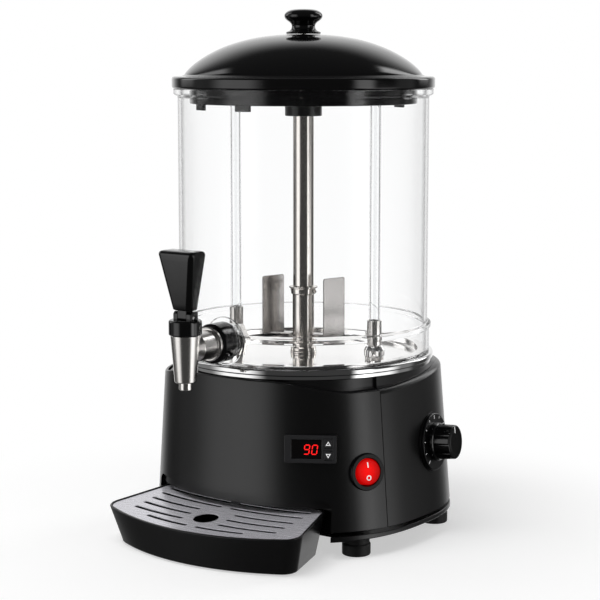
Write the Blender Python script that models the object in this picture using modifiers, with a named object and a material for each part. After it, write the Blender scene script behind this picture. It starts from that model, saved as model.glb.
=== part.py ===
"""Hot chocolate dispenser: a heated base with a clear tank, an agitator, a lever tap, a lid and a drip tray.

Metres, +Z up, front towards -Y. Every piece is built round the tank's axis, and the frame empty
then moves the whole machine so that its box stands centred on the origin.
"""
import math

import bmesh
import bpy
from mathutils import Matrix, Vector

# Fits
GAP = 0.0003
RUNNING = 0.0003
OVERRUN = 0.004
WELD = 0.00001

# Facets round a turned piece
WIDE_STEPS = 32
MIDDLE_STEPS = 16
NARROW_STEPS = 12
PIN_STEPS = 12

# Base plan: half width, front depth and rear depth at the deck, and how far each spreads at the plinth's foot
BASE_HEIGHT = 0.1504
SEAT_RADIUS = 0.128
DECK_SIDE_MARGIN = 0.001
DECK_FRONT_MARGIN = 0.0005
DECK_HALF_WIDTH = SEAT_RADIUS + DECK_SIDE_MARGIN
DECK_FRONT = SEAT_RADIUS + DECK_FRONT_MARGIN
DECK_REAR = SEAT_RADIUS + DECK_SIDE_MARGIN
SIDE_SPREAD = 0.0125
FRONT_SPREAD = 0.003
REAR_SPREAD = 0.009
FOOT_HALF_WIDTH = DECK_HALF_WIDTH + SIDE_SPREAD
FOOT_FRONT = DECK_FRONT + FRONT_SPREAD
FOOT_REAR = DECK_REAR + REAR_SPREAD
PLAN_POWER = 2.4
PLAN_STEPS = 46
SEAM_TURN = math.radians(70.5)
SEAM_STEP = math.radians(0.12)
SEAM_WIDTH = 0.0005

# Feet and plinth
FOOT_HEIGHT = 0.016
FOOT_RADIUS = 0.0135
FOOT_TOP_RADIUS = 0.0125
FOOT_CHAMFER = 0.001
FOOT_SIDE_INSET = 0.0335
FOOT_FRONT_INSET = 0.0635
FOOT_REAR_INSET = 0.064
FOOT_X = FOOT_HALF_WIDTH - FOOT_SIDE_INSET
FOOT_FRONT_Y = FOOT_FRONT - FOOT_FRONT_INSET
FOOT_REAR_Y = FOOT_REAR - FOOT_REAR_INSET
PLINTH_HEIGHT = 0.0095
PLINTH_SEAM = 0.0006
PLINTH_EDGE = 0.001
PAN_FLOOR_RISE = 0.0032
PAN_FLOOR = 0.0024
PAN_WALL = 0.0026
PLINTH_ARCH = 0.0026

# Walls, deck and the wavy top edge
WALL = 0.003
DECK_WALL = 0.003
SHOULDER = 0.005
PANEL_EDGE_ROUND = 0.0012
PANEL_EDGE_SETBACK = 0.0003
EDGE_DROP = 0.0102
EDGE_DROP_START = math.radians(16)
EDGE_DROP_END = math.radians(56)
EDGE_RISE_START = math.radians(70)
EDGE_RISE_END = math.radians(118)
EDGE_RISE_SHARE = 0.8
DECK_SKIRT = 0.012
SEAT_LAP = 0.012
DECK_HOLE_RADIUS = SEAT_RADIUS - SEAT_LAP
DECK_LAND = 0.001

# Arch over the tray, and the holder behind it
ARCH_SIDE = 0.040
ARCH_HEIGHT_SHARE = 0.26928
ARCH_HALF_WIDTH = FOOT_HALF_WIDTH - ARCH_SIDE
ARCH_HEIGHT = BASE_HEIGHT * ARCH_HEIGHT_SHARE
ARCH_CORNER = 0.010
HOLDER_WALL = 0.0025
HOLDER_BAND_SHARE = 0.2025
HOLDER_BAND = ARCH_HEIGHT * HOLDER_BAND_SHARE
HOLDER_DEPTH = 0.0395
HOLDER_DEPTH_Y = FOOT_FRONT - HOLDER_DEPTH
HOLDER_UPSTAND = 0.006
HOLDER_SIDE_CLEARANCE = 0.0012
TONGUE_SIDE_INSET = 0.0465
TONGUE_X = ARCH_HALF_WIDTH - TONGUE_SIDE_INSET
TONGUE_WIDTH = 0.014
TONGUE_HEIGHT = 0.0035
TONGUE_LIFT = 0.0029
TONGUE_LENGTH = 0.009

# Drip tray and grid
TRAY_REACH = 0.0655
TRAY_BACK_CLEARANCE = 0.0035
TRAY_CORNER_CLEARANCE = 0.0065
TRAY_BACK_SIDE_CLEARANCE = 0.007
TRAY_CORNER_SETBACK = 0.036
TRAY_FRONT = FOOT_FRONT + TRAY_REACH
TRAY_BACK = HOLDER_DEPTH_Y + TRAY_BACK_CLEARANCE
TRAY_CORNER_X = ARCH_HALF_WIDTH - TRAY_CORNER_CLEARANCE
TRAY_CORNER_Y = TRAY_FRONT - TRAY_CORNER_SETBACK
TRAY_CORNER = 0.015
TRAY_BACK_HALF_WIDTH = ARCH_HALF_WIDTH - TRAY_BACK_SIDE_CLEARANCE
TRAY_BACK_CORNER = 0.008
TRAY_FLARE_SIDE = 0.010
TRAY_FLARE_FRONT = 0.006
TRAY_TOP_CLEARANCE = 0.011
TRAY_BACK_HEIGHT = FOOT_HEIGHT + ARCH_HEIGHT - TRAY_TOP_CLEARANCE
TRAY_SLOPE = math.radians(6.3)
TRAY_CLEARANCE = 0.001
TRAY_WALL = 0.0024
TRAY_FLOOR = 0.0025
TRAY_FOOT_ROUND = 0.0025
TRAY_RIM_ROUND = 0.0009
RIM_WIDTH = 0.0022
LEDGE_WIDTH = 0.003
LEDGE_DEPTH = 0.0024
GRID_THICKNESS = 0.0012
GRID_CLEARANCE = 0.0004
SLOT_WIDTH = 0.0042
SLOT_BOW_SHARE = 0.05
SLOT_PITCH = 0.0132
SLOT_FIRST_INSET = 0.0185
SLOT_FIRST_Y = TRAY_BACK + SLOT_FIRST_INSET
SLOT_INNER_X = 0.007
SLOT_INNER_WIDE_X = 0.0225
SLOT_SIDE_INSET = 0.014
SLOT_LAST_SHORTER = 0.027
SLOT_OUTER_X = TRAY_CORNER_X - SLOT_SIDE_INSET
SLOT_LAST_OUTER_X = SLOT_OUTER_X - SLOT_LAST_SHORTER
SLOT_COUNT = 6
GRID_HOLE_RADIUS = 0.0118
GRID_HOLE_INSET = 0.0625
GRID_HOLE_Y = TRAY_BACK + GRID_HOLE_INSET
BOW_STEPS = 10
CORNER_STEPS = 4

# Seat ring, water pan and element
SEAT_HEIGHT = 0.0093
SEAT_ROUND = 0.0012
SEAT_WIDTH = 0.0143
SEAT_BORE = SEAT_RADIUS - SEAT_WIDTH
SEAT_LEDGE = 0.0057
SEAT_LEDGE_DEPTH = 0.0095
SEAT_SPIGOT = 0.005
SEAT_SPIGOT_CLEARANCE = 0.001
BATH_DEPTH_SHARE = 0.27926
BATH_DEPTH = BASE_HEIGHT * BATH_DEPTH_SHARE
BATH_WALL = 0.001
CHIMNEY_RADIUS = 0.012
CHIMNEY_HEIGHT_SHARE = 0.7619
CHIMNEY_HEIGHT = BATH_DEPTH * CHIMNEY_HEIGHT_SHARE
ELEMENT_RADIUS = 0.004
ELEMENT_SIDE_CLEARANCE = 0.0397
ELEMENT_RING = SEAT_BORE - ELEMENT_SIDE_CLEARANCE
ELEMENT_RISE = 0.0095
ELEMENT_LEG = 0.014
ELEMENT_SWEEP = math.radians(328)
ELEMENT_POINTS = 20

# Gearmotor and bracket
BRACKET_SHEET = 0.002
BRACKET_HALF_LENGTH = 0.056
BRACKET_WIDTH = 0.060
BRACKET_FLANGE = 0.014
BRACKET_DROP_SHARE = 0.13298
BRACKET_DROP = BASE_HEIGHT * BRACKET_DROP_SHARE
GEARBOX_LENGTH = 0.092
GEARBOX_WIDTH = 0.066
GEARBOX_HEIGHT_SHARE = 0.19947
GEARBOX_HEIGHT = BASE_HEIGHT * GEARBOX_HEIGHT_SHARE
GEARBOX_ROUND = 0.004
HUB_RADIUS = 0.009
HUB_RISE = 0.007
MOTOR_RADIUS = 0.027
MOTOR_LENGTH_SHARE = 0.2859
MOTOR_LENGTH = BASE_HEIGHT * MOTOR_LENGTH_SHARE
MOTOR_OFFSET = 0.016
SHAFT_RADIUS = 0.0035
SHAFT_FLAT = 0.0026
SHAFT_SEAT = 0.024
SHAFT_FLAT_LENGTH = 0.007

# Tank
SKIRT_SETBACK = 0.004
SKIRT_PROUD = 0.002
TANK_SKIRT_RADIUS = SEAT_RADIUS - SKIRT_SETBACK
TANK_RADIUS = TANK_SKIRT_RADIUS - SKIRT_PROUD
TANK_WALL = 0.003
TANK_SKIRT_WALL = 0.003
TANK_SKIRT_HEIGHT = 0.0227
JOINT_RING_PROUD = 0.0015
JOINT_RING_RADIUS = TANK_SKIRT_RADIUS + JOINT_RING_PROUD
JOINT_RING_HEIGHT = 0.006
TANK_HEIGHT = 0.2547
RIM_PROUD = 0.004
RIM_RADIUS = TANK_RADIUS + RIM_PROUD
RIM_HEIGHT = 0.005
RIM_TAPER = 0.002
TANK_LIP = 0.0012
TANK_LIP_CLEARANCE = 0.0008
TANK_LIP_RADIUS = SEAT_BORE + TANK_LIP_CLEARANCE
FLOOR_SHEET = 0.0009
FLOOR_DISH = 0.0067
FLOOR_ROUND = 0.0015

# Standpipe and agitator
STANDPIPE_RADIUS = 0.008
STANDPIPE_WALL = 0.0015
STANDPIPE_DROP = 0.036
STANDPIPE_FOOT = 0.0145
STANDPIPE_FLANGE = 0.013
STANDPIPE_FLANGE_HEIGHT = 0.0015
STANDPIPE_NUT = 0.0135
STANDPIPE_NUT_HEIGHT = 0.007
BUSH_WALL = 0.0024
BUSH_LENGTH = 0.014
BUSH_HEAD = 0.0015
SLEEVE_RADIUS = 0.0107
SLEEVE_WALL = 0.0019
SLEEVE_FOOT_RADIUS = 0.0126
SLEEVE_FOOT_HEIGHT = 0.0035
SLEEVE_HEIGHT = 0.056
COLLAR_RADIUS = 0.0122
COLLAR_LIP_RADIUS = 0.014
COLLAR_LIP = 0.0016
COLLAR_HEIGHT = 0.0075
COLLAR_PIN_RADIUS = 0.0016
COLLAR_PIN_HALF_LENGTH = 0.0148
STIRRER_RADIUS = 0.0102
STIRRER_WALL = 0.0014
STIRRER_DROP = 0.019
CAP_HEAD = 0.002
HUB_RING_RADIUS = 0.0142
HUB_RING_RISE = 0.0118
HUB_RING_HEIGHT = 0.0035
PADDLE_RADIUS = 0.032
PADDLE_WIDTH = 0.027
PADDLE_HEIGHT = 0.0575
PADDLE_SHEET = 0.0015
PADDLE_PITCH = math.radians(61)
PADDLE_ARM_TURN = math.radians(14)
PADDLE_FOOT_WIDTH = 0.011
PADDLE_CORNER = 0.002

# Fill and vent tubes
TUBE_SIDE_INSET = 0.039
TUBE_X = TANK_RADIUS - TUBE_SIDE_INSET
TUBE_RADIUS = 0.0053
TUBE_WALL = 0.0014
TUBE_DROP = 0.003
SOCKET_RADIUS = 0.007
SOCKET_RISE = 0.039
SOCKET_DEPTH = 0.013
SOCKET_SHANK = 0.0055
SOCKET_FOOT_RADIUS = 0.009
SOCKET_FOOT = 0.0038
SOCKET_TAIL = 0.004
TUBE_NUT_RADIUS = 0.010
TUBE_NUT_HEIGHT = 0.0095

# Tap
TAP_RISE = 0.0277
TAP_FLANGE_RADIUS = 0.0208
TAP_FLANGE_PROUD = 0.0048
TAP_FLANGE_FACE = TANK_SKIRT_RADIUS + TAP_FLANGE_PROUD
TAP_LENGTH = 0.0572
TAP_REACH = TAP_FLANGE_FACE + TAP_LENGTH
TAP_SHANK = 0.0095
TAP_NUT_RADIUS = 0.0175
TAP_NUT_LENGTH = 0.0208
TAP_NUT_CHAMFER = 0.0015
TAP_COLLAR_RADIUS = 0.0158
TAP_COLLAR_LENGTH = 0.0035
TAP_PIPE_RADIUS = 0.013
TAP_BORE = 0.0062
TAP_INNER_LENGTH = 0.012
TAP_INNER_END = TANK_RADIUS - TANK_WALL - TAP_INNER_LENGTH
BACK_NUT_RADIUS = 0.016
BACK_NUT_LENGTH = 0.011
BODY_TOP_RADIUS = 0.0137
BODY_FOOT_RADIUS = 0.010
BODY_RISE = 0.0078
BODY_LENGTH = 0.0418
SPOUT_RADIUS = 0.0062
SPOUT_WALL = 0.0014
SPOUT_LENGTH = 0.007
BODY_BORE = 0.0085
SEAT_CONE_RISE = 0.009
CAP_RADIUS = 0.0152
CAP_HEIGHT = 0.0137
CAP_SPIGOT = 0.008
CAP_ROUND = 0.0015
YOKE_WIDTH = 0.019
YOKE_SLOT = 0.0106
YOKE_RADIUS = 0.006
PIVOT_RISE = 0.0035
PIN_RADIUS = 0.002
TONGUE_RADIUS = 0.0056
TONGUE_THICKNESS = 0.010
HANDLE_CLEARANCE = 0.0008
HANDLE_HEIGHT = 0.049
HANDLE_TOP_WIDTH = 0.0345
HANDLE_TOP_DEPTH = 0.023
HANDLE_FOOT_WIDTH = 0.017
HANDLE_FOOT_DEPTH = 0.0126
HANDLE_ROUND = 0.0022
STEM_RADIUS = 0.0025
STEM_LIFT = 0.005
STEM_CLEARANCE = 0.0012
PLUG_RADIUS = 0.0076
PLUG_HEIGHT = 0.007

# Lid
LID_PROUD = 0.0015
LID_RADIUS = RIM_RADIUS + LID_PROUD
LID_BAND = 0.0112
LID_ROUND = 0.0012
DOME_INSET = 0.0125
DOME_RADIUS = LID_RADIUS - DOME_INSET
DOME_FOOT = 0.0021
DOME_RISE = 0.0384
LID_WALL = 0.0025
LID_SEAT_INSET = 0.0145
LID_SEAT_RADIUS = LID_RADIUS - LID_SEAT_INSET
DOME_STEPS = 6
DOME_INNER_STEPS = 3
SPIGOT_INSET = 0.0025
SPIGOT_RADIUS = LID_SEAT_RADIUS - SPIGOT_INSET
SPIGOT_WALL = 0.0032
SPIGOT_DROP = 0.0145
SPIGOT_FLANGE_HEIGHT = 0.003
LUG_WIDTH = 0.016
LUG_HEIGHT = 0.0055
LUG_TURNS = (math.radians(-28), math.radians(4), math.radians(152))
LID_HUB_RADIUS = 0.018
LID_HUB_DROP = 0.0264
LID_HUB_WALL = 0.003
LID_HUB_SOCKET = 0.0119
LID_HUB_WEB = 0.002
LID_HUB_HEAD = 0.009
STUD_RADIUS = 0.003
STUD_HEAD_RADIUS = 0.0055
STUD_HEAD = 0.0035
STUD_REACH = 0.013
KNOB_RADIUS = 0.0185
KNOB_HEIGHT = 0.0237
KNOB_SHARES = ((0, 1.0), (0.5, 0.985), (0.82, 0.91), (1.0, 0.74), (0.95, 0.58), (0.68, 0.47),
               (0.61, 0.32), (0.68, 0.16), (0.9, 0.07), (0.9, 0))

# Display
DISPLAY_TURN = math.radians(35.25)
DISPLAY_RISE_SHARE = 0.59176
DISPLAY_YAW = math.radians(-4)
BEZEL_WIDTH = 0.048
BEZEL_HEIGHT = 0.0258
BEZEL_PROUD = 0.002
BEZEL_ROUND = 0.0006
HOUSING_WIDTH = 0.043
HOUSING_HEIGHT = 0.021
HOUSING_DEPTH = 0.020
PAD_DEPTH = 0.008
PAD_PROUD = 0.0003
WINDOW_WIDTH = 0.0275
WINDOW_HEIGHT = 0.0175
WINDOW_THICKNESS = 0.0012
WINDOW_OFFSET = 0.0036
BUTTON_WIDTH = 0.0076
BUTTON_HEIGHT = 0.0082
BUTTON_THICKNESS = 0.0022
BUTTON_TRAVEL = 0.0009
BUTTON_PROUD = 0.0002
BUTTON_X = 0.0165
BUTTON_Y = 0.0056
BOARD_MARGIN = 0.004
BOARD_THICKNESS = 0.0016

# Round rocker switch
SWITCH_TURN = math.radians(61)
SWITCH_RISE_SHARE = 0.43218
SWITCH_RADIUS = 0.0176
SWITCH_PROUD = 0.002
SWITCH_BARREL = 0.0145
SWITCH_BORE = 0.0133
SWITCH_DEPTH = 0.022
SWITCH_CLEARANCE = 0.001
ROCKER_HALF_THICKNESS = 0.0042
ROCKER_CREST = 0.0012
ROCKER_CREST_FLAT = 0.0004
ROCKER_TILT = math.radians(7)
ROCKER_PIN_RADIUS = 0.0014

# Thermostat
DIAL_TURN = math.radians(99)
DIAL_RISE_SHARE = 0.51197
DIAL_RADIUS = 0.0276
DIAL_THICKNESS = 0.002
DIAL_BOSS_RADIUS = 0.0288
DIAL_PROUD = 0.0006
DIAL_BOSS_DEPTH = 0.009
DIAL_KNOB_RADIUS = 0.0184
DIAL_KNOB_LENGTH = 0.0205
DIAL_KNOB_SKIRT = 0.003
DIAL_KNOB_WAIST_SHARE = 0.9
DIAL_KNOB_DISH = 0.0012
GRIP_WIDTH = 0.011
GRIP_DEPTH = 0.011
DIAL_SHAFT_RADIUS = 0.003
DIAL_SHAFT_OUT = 0.012
THERMOSTAT_RADIUS = 0.0155
THERMOSTAT_LENGTH = 0.026
THERMOSTAT_SPIGOT = 0.0055

# Cord gland and vents
GLAND_TURN = math.radians(158)
GLAND_RISE_SHARE = 0.19947
GLAND_FLANGE = 0.0105
GLAND_RADIUS = 0.0068
GLAND_NOSE = 0.0052
GLAND_BORE = 0.0036
GLAND_LENGTH = 0.011
GLAND_TAIL = 0.007
VENT_COUNT = 6
VENT_PITCH = 0.0085
VENT_HEIGHT = 0.0035
VENT_WIDTH = 0.060
VENT_RISE_SHARE = 0.35904

# Levels that follow from the sizes above
BASE_FOOT = FOOT_HEIGHT
PLINTH_TOP = BASE_FOOT + PLINTH_HEIGHT
SHELL_FOOT = PLINTH_TOP + PLINTH_SEAM
PAN_UNDERSIDE = BASE_FOOT + PAN_FLOOR_RISE
PAN_TOP = PAN_UNDERSIDE + PAN_FLOOR
DECK_TOP = BASE_FOOT + BASE_HEIGHT
ARCH_TOP = BASE_FOOT + ARCH_HEIGHT
EDGE_TOP = DECK_TOP - PANEL_EDGE_SETBACK
SEAT_FOOT = DECK_TOP + GAP
SEAT_TOP = SEAT_FOOT + SEAT_HEIGHT
SEAT_LEDGE_TOP = SEAT_TOP - SEAT_LEDGE_DEPTH
BATH_TOP = SEAT_LEDGE_TOP + GAP + BATH_WALL
BATH_FLOOR = BATH_TOP - BATH_DEPTH
BATH_RADIUS = SEAT_BORE - SEAT_LEDGE - GAP
TANK_FOOT = SEAT_TOP + GAP
JOINT_RING_FOOT = TANK_FOOT + TANK_SKIRT_HEIGHT
JOINT_RING_TOP = JOINT_RING_FOOT + JOINT_RING_HEIGHT
TANK_TOP = TANK_FOOT + TANK_HEIGHT
TANK_INNER = TANK_RADIUS - TANK_WALL
STANDPIPE_TOP = TANK_TOP - STANDPIPE_DROP
STIRRER_TOP = TANK_TOP - STIRRER_DROP
TUBE_TOP = TANK_TOP - TUBE_DROP
SKIRT_INNER = TANK_SKIRT_RADIUS - TANK_SKIRT_WALL
FLANGE_FOOT = TANK_FOOT + TANK_LIP + GAP
FLOOR_TOP = FLANGE_FOOT + FLOOR_SHEET - FLOOR_DISH
FLOOR_UNDERSIDE = FLOOR_TOP - FLOOR_SHEET
SOCKET_TOP = FLOOR_TOP + SOCKET_RISE
TAP_HEIGHT = TANK_FOOT + TAP_RISE
BODY_TOP = TAP_HEIGHT + BODY_RISE
BODY_FOOT = BODY_TOP - BODY_LENGTH
SPOUT_END = BODY_FOOT - SPOUT_LENGTH
SEAT_CONE_TOP = BODY_FOOT + SEAT_CONE_RISE
LID_FOOT = TANK_TOP + GAP
LID_HUB_FOOT = TANK_TOP - LID_HUB_DROP
BAND_TOP = LID_FOOT + LID_BAND
DOME_EDGE = BAND_TOP + DOME_FOOT
DOME_TOP = DOME_EDGE + DOME_RISE
DOME_CURVE = (DOME_RADIUS ** 2 + DOME_RISE ** 2) / (2 * DOME_RISE)
GEARBOX_TOP = BATH_FLOOR - BATH_WALL - BRACKET_DROP
PIVOT_Z = BODY_TOP + GAP + CAP_HEIGHT + PIVOT_RISE
SOLE_Z = PIVOT_Z + YOKE_RADIUS + HANDLE_CLEARANCE
PLUG_FOOT = STANDPIPE_TOP + BUSH_HEAD + 2 * GAP
SHAFT_TOP = PLUG_FOOT + SHAFT_FLAT_LENGTH
DISPLAY_Z = BASE_FOOT + BASE_HEIGHT * DISPLAY_RISE_SHARE
SWITCH_Z = BASE_FOOT + BASE_HEIGHT * SWITCH_RISE_SHARE
DIAL_Z = BASE_FOOT + BASE_HEIGHT * DIAL_RISE_SHARE
GLAND_Z = BASE_FOOT + BASE_HEIGHT * GLAND_RISE_SHARE
VENT_FIRST_Z = BASE_FOOT + BASE_HEIGHT * VENT_RISE_SHARE


def clear_scene():
    """Start from an empty file without closing it."""
    for obj in list(bpy.data.objects):
        bpy.data.objects.remove(obj, do_unlink=True)
    for collection in list(bpy.data.collections):
        bpy.data.collections.remove(collection)


def new_collection(name):
    collection = bpy.data.collections.new(name)
    bpy.context.scene.collection.children.link(collection)
    return collection


clear_scene()
PARTS = new_collection("hot_chocolate_dispenser")
CUTTERS = new_collection("dispenser_cutters")

# Looks: colour, roughness, metallic, alpha
LOOKS = {
    "black_moulding": ((0.012, 0.012, 0.013), 0.38, 0, 1),
    "gloss_black": ((0.006, 0.006, 0.006), 0.12, 0, 1),
    "black_rubber": ((0.01, 0.01, 0.01), 0.7, 0, 1),
    "grey_bezel": ((0.05, 0.05, 0.052), 0.45, 0, 1),
    "dark_glass": ((0.004, 0.002, 0.002), 0.08, 0, 1),
    "red_lens": ((0.75, 0.01, 0.012), 0.18, 0, 1),
    "clear_plastic": ((0.9, 0.92, 0.93), 0.04, 0, 0.25),
    "brushed_steel": ((0.55, 0.54, 0.53), 0.3, 1, 1),
    "polished_steel": ((0.72, 0.72, 0.72), 0.1, 1, 1),
    "bronze": ((0.5, 0.3, 0.12), 0.35, 1, 1),
    "cast_grey": ((0.3, 0.3, 0.31), 0.5, 1, 1),
    "board_green": ((0.02, 0.12, 0.05), 0.5, 0, 1),
}


def new_look(piece_name, look):
    """A Principled material of the piece's own."""
    colour, roughness, metallic, alpha = LOOKS[look]
    material = bpy.data.materials.new(piece_name + "_" + look)
    material.use_nodes = True
    shader = material.node_tree.nodes["Principled BSDF"]
    shader.inputs["Base Color"].default_value = (*colour, 1)
    shader.inputs["Roughness"].default_value = roughness
    shader.inputs["Metallic"].default_value = metallic
    shader.inputs["Alpha"].default_value = alpha
    return material


def add_frame(name, parent=None, matrix=None):
    """An empty that carries pieces; a moving body's empty lies on its joint's axis."""
    frame = bpy.data.objects.new(name, None)
    frame.empty_display_size = FOOT_RADIUS
    PARTS.objects.link(frame)
    frame.parent = parent
    if matrix:
        frame.matrix_local = matrix
    return frame


def add_object(name, data, frame, look=None, matrix=None):
    """Link a piece, or a cutter where it has no look, in its frame."""
    obj = bpy.data.objects.new(name, data)
    if look:
        PARTS.objects.link(obj)
        data.materials.append(new_look(name, look))
    else:
        CUTTERS.objects.link(obj)
        obj.hide_render = True
        obj.display_type = "WIRE"
    obj.parent = frame
    if matrix:
        obj.matrix_local = matrix
    return obj


def mesh_from(name, fill):
    """A mesh whose bmesh is filled by a function."""
    mesh = bpy.data.meshes.new(name)
    bm = bmesh.new()
    fill(bm)
    bm.to_mesh(mesh)
    bm.free()
    return mesh


def turned(name, profile, frame, look=None, steps=WIDE_STEPS, matrix=None):
    """A turned piece: a profile of (radius, height) down its outer side and back up its bore."""
    closed = profile[0][0] > 0 and profile[-1][0] > 0

    def fill(bm):
        verts = [bm.verts.new((radius, 0, height)) for radius, height in profile]
        for first, second in zip(verts, verts[1:]):
            bm.edges.new((first, second))
        if closed:
            bm.edges.new((verts[-1], verts[0]))

    obj = add_object(name, mesh_from(name, fill), frame, look, matrix)
    screw = obj.modifiers.new("turn", "SCREW")
    screw.axis = "Z"
    screw.angle = math.tau
    screw.steps = steps
    screw.render_steps = steps
    screw.use_merge_vertices = True
    screw.merge_threshold = WELD
    screw.use_smooth_shade = True
    return obj


def block(name, low, high, frame, look=None, matrix=None):
    """A box between two corners."""
    size = [high[i] - low[i] for i in range(3)]
    centre = [(high[i] + low[i]) / 2 for i in range(3)]

    def fill(bm):
        bmesh.ops.create_cube(bm, size=1, matrix=Matrix.Translation(centre) @ Matrix.Diagonal((*size, 1)))

    return add_object(name, mesh_from(name, fill), frame, look, matrix)


def drum(name, radius, low, high, frame, look=None, steps=MIDDLE_STEPS, matrix=None):
    """A plain cylinder along its own Z, from one height to another."""

    def fill(bm):
        bmesh.ops.create_cone(
            bm, cap_ends=True, segments=steps, radius1=radius, radius2=radius, depth=high - low,
            matrix=Matrix.Translation((0, 0, (high + low) / 2)))

    return add_object(name, mesh_from(name, fill), frame, look, matrix)


def lofted(name, rings, frame, look=None, matrix=None, ring_of_sections=False):
    """A skin over rings of points: capped at both ends, or closed on itself like a ring of sections."""

    def fill(bm):
        rows = [[bm.verts.new(point) for point in ring] for ring in rings]
        pairs = list(zip(rows, rows[1:]))
        if ring_of_sections:
            pairs.append((rows[-1], rows[0]))
        else:
            bm.faces.new(rows[0])
            bm.faces.new(rows[-1])
        for row, following in pairs:
            count = len(row)
            for i in range(count):
                bm.faces.new((row[i], row[(i + 1) % count], following[(i + 1) % count], following[i]))
        bmesh.ops.recalc_face_normals(bm, faces=bm.faces)

    return add_object(name, mesh_from(name, fill), frame, look, matrix)


def plate(name, outlines, thickness, frame, look=None, matrix=None):
    """A flat plate from closed outlines in its own XY plane, holes inside them, as a welded mesh."""
    curve = bpy.data.curves.new(name, "CURVE")
    curve.dimensions = "2D"
    curve.fill_mode = "BOTH"
    curve.extrude = thickness / 2
    for outline in outlines:
        spline = curve.splines.new("POLY")
        spline.points.add(len(outline) - 1)
        for point, (x, y) in zip(spline.points, outline):
            point.co = (x, y, 0, 1)
        spline.use_cyclic_u = True
    flat = bpy.data.objects.new(name, curve)
    bpy.context.scene.collection.objects.link(flat)
    bpy.context.view_layer.update()
    mesh = welded_mesh(flat)
    return add_object(name, mesh, frame, look, matrix)


def welded_mesh(curve_object):
    """The mesh of a curve object, its caps welded on; the curve goes."""
    evaluated = curve_object.evaluated_get(bpy.context.evaluated_depsgraph_get())
    mesh = bpy.data.meshes.new_from_object(evaluated)
    bm = bmesh.new()
    bm.from_mesh(mesh)
    bmesh.ops.remove_doubles(bm, verts=bm.verts, dist=WELD)
    bm.to_mesh(mesh)
    bm.free()
    mesh.name = curve_object.name
    bpy.data.objects.remove(curve_object, do_unlink=True)
    return mesh


def tube_along(name, points, radius, frame, look):
    """A round rod along a run of points."""
    curve = bpy.data.curves.new(name, "CURVE")
    curve.dimensions = "3D"
    curve.bevel_depth = radius
    curve.bevel_resolution = 2
    curve.use_fill_caps = True
    spline = curve.splines.new("POLY")
    spline.points.add(len(points) - 1)
    for point, place in zip(spline.points, points):
        point.co = (*place, 1)
    return add_object(name, curve, frame, look)


def combine(obj, other, operation):
    """Cut, join or intersect with another object, which then counts as a cutter."""
    modifier = obj.modifiers.new(operation.lower() + "_" + other.name, "BOOLEAN")
    modifier.operation = operation
    modifier.solver = "EXACT"
    modifier.object = other


def cut(obj, *cutters):
    for cutter in cutters:
        combine(obj, cutter, "DIFFERENCE")


def join(obj, *others):
    for other in others:
        combine(obj, other, "UNION")


def rounded(obj, width, segments=2):
    bevel = obj.modifiers.new("rounded_edges", "BEVEL")
    bevel.width = width
    bevel.segments = segments
    bevel.limit_method = "ANGLE"


def arc(centre, radius, start, end, steps):
    """Points of an arc in a plane, from one angle to another."""
    angles = [start + (end - start) * i / steps for i in range(steps + 1)]
    return [(centre[0] + radius * math.cos(a), centre[1] + radius * math.sin(a)) for a in angles]


def rotation(axis, angle):
    return Matrix.Rotation(angle, 4, axis)


def ease(value, start, end):
    """0 before start, 1 after end, and a smooth rise between."""
    share = min(max((value - start) / (end - start), 0), 1)
    return share * share * (3 - 2 * share)


def plan_point(turn, z, inset=0):
    """A point on the base's outer surface, moved inwards; turn 0 is the front, positive to the right."""
    share = (DECK_TOP - z) / BASE_HEIGHT
    half_width = DECK_HALF_WIDTH + share * (FOOT_HALF_WIDTH - DECK_HALF_WIDTH)
    if math.cos(turn) > 0:
        depth = DECK_FRONT + share * (FOOT_FRONT - DECK_FRONT)
    else:
        depth = DECK_REAR + share * (FOOT_REAR - DECK_REAR)
    across = math.copysign(abs(math.sin(turn)) ** (2 / PLAN_POWER), math.sin(turn))
    along = -math.copysign(abs(math.cos(turn)) ** (2 / PLAN_POWER), math.cos(turn))
    slope = PLAN_POWER - 1
    normal = Vector((math.copysign(abs(across) ** slope, across) / half_width,
                     math.copysign(abs(along) ** slope, along) / depth)).normalized()
    return Vector((half_width * across - normal.x * inset, depth * along - normal.y * inset, z))


def surface_frame(turn, z, yaw=0):
    """A frame on the base's surface: X to the right along it, Y up it, Z straight out of it."""
    right = (plan_point(turn + SEAM_STEP, z) - plan_point(turn - SEAM_STEP, z)).normalized()
    up = (plan_point(turn, z + WALL) - plan_point(turn, z - WALL)).normalized()
    out = right.cross(up).normalized()
    up = out.cross(right)
    place = Matrix((right, up, out)).transposed().to_4x4()
    place.translation = plan_point(turn, z)
    return place @ rotation("Y", yaw)


def edge_height(turn):
    """The top edge of the shells: level at the front, lower at the front corners, higher at the rear."""
    angle = abs(turn)
    drop = ease(angle, EDGE_DROP_START, EDGE_DROP_END)
    rise = EDGE_RISE_SHARE * ease(angle, EDGE_RISE_START, EDGE_RISE_END)
    return EDGE_TOP - EDGE_DROP * drop * (1 - rise)


def plan_turns(start, end):
    """Turns from start to end, evenly spaced, at the plan's density."""
    count = max(2, round(PLAN_STEPS * (end - start) / math.tau))
    return [start + (end - start) * i / count for i in range(count + 1)]


def plan_ring(z, inset, turns):
    """A ring round the base at a level, or at a level that follows the turn."""
    return [plan_point(turn, z(turn) if callable(z) else z, inset) for turn in turns]


def base_solid(name, inset, low, high, frame):
    """The space inside the base's outer surface, drawn in by an inset, between two levels."""
    turns = plan_turns(-math.pi, math.pi)[:-1]
    return lofted(name, [plan_ring(low, inset, turns), plan_ring(high, inset, turns)], frame)


machine = add_frame("machine_frame")


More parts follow.
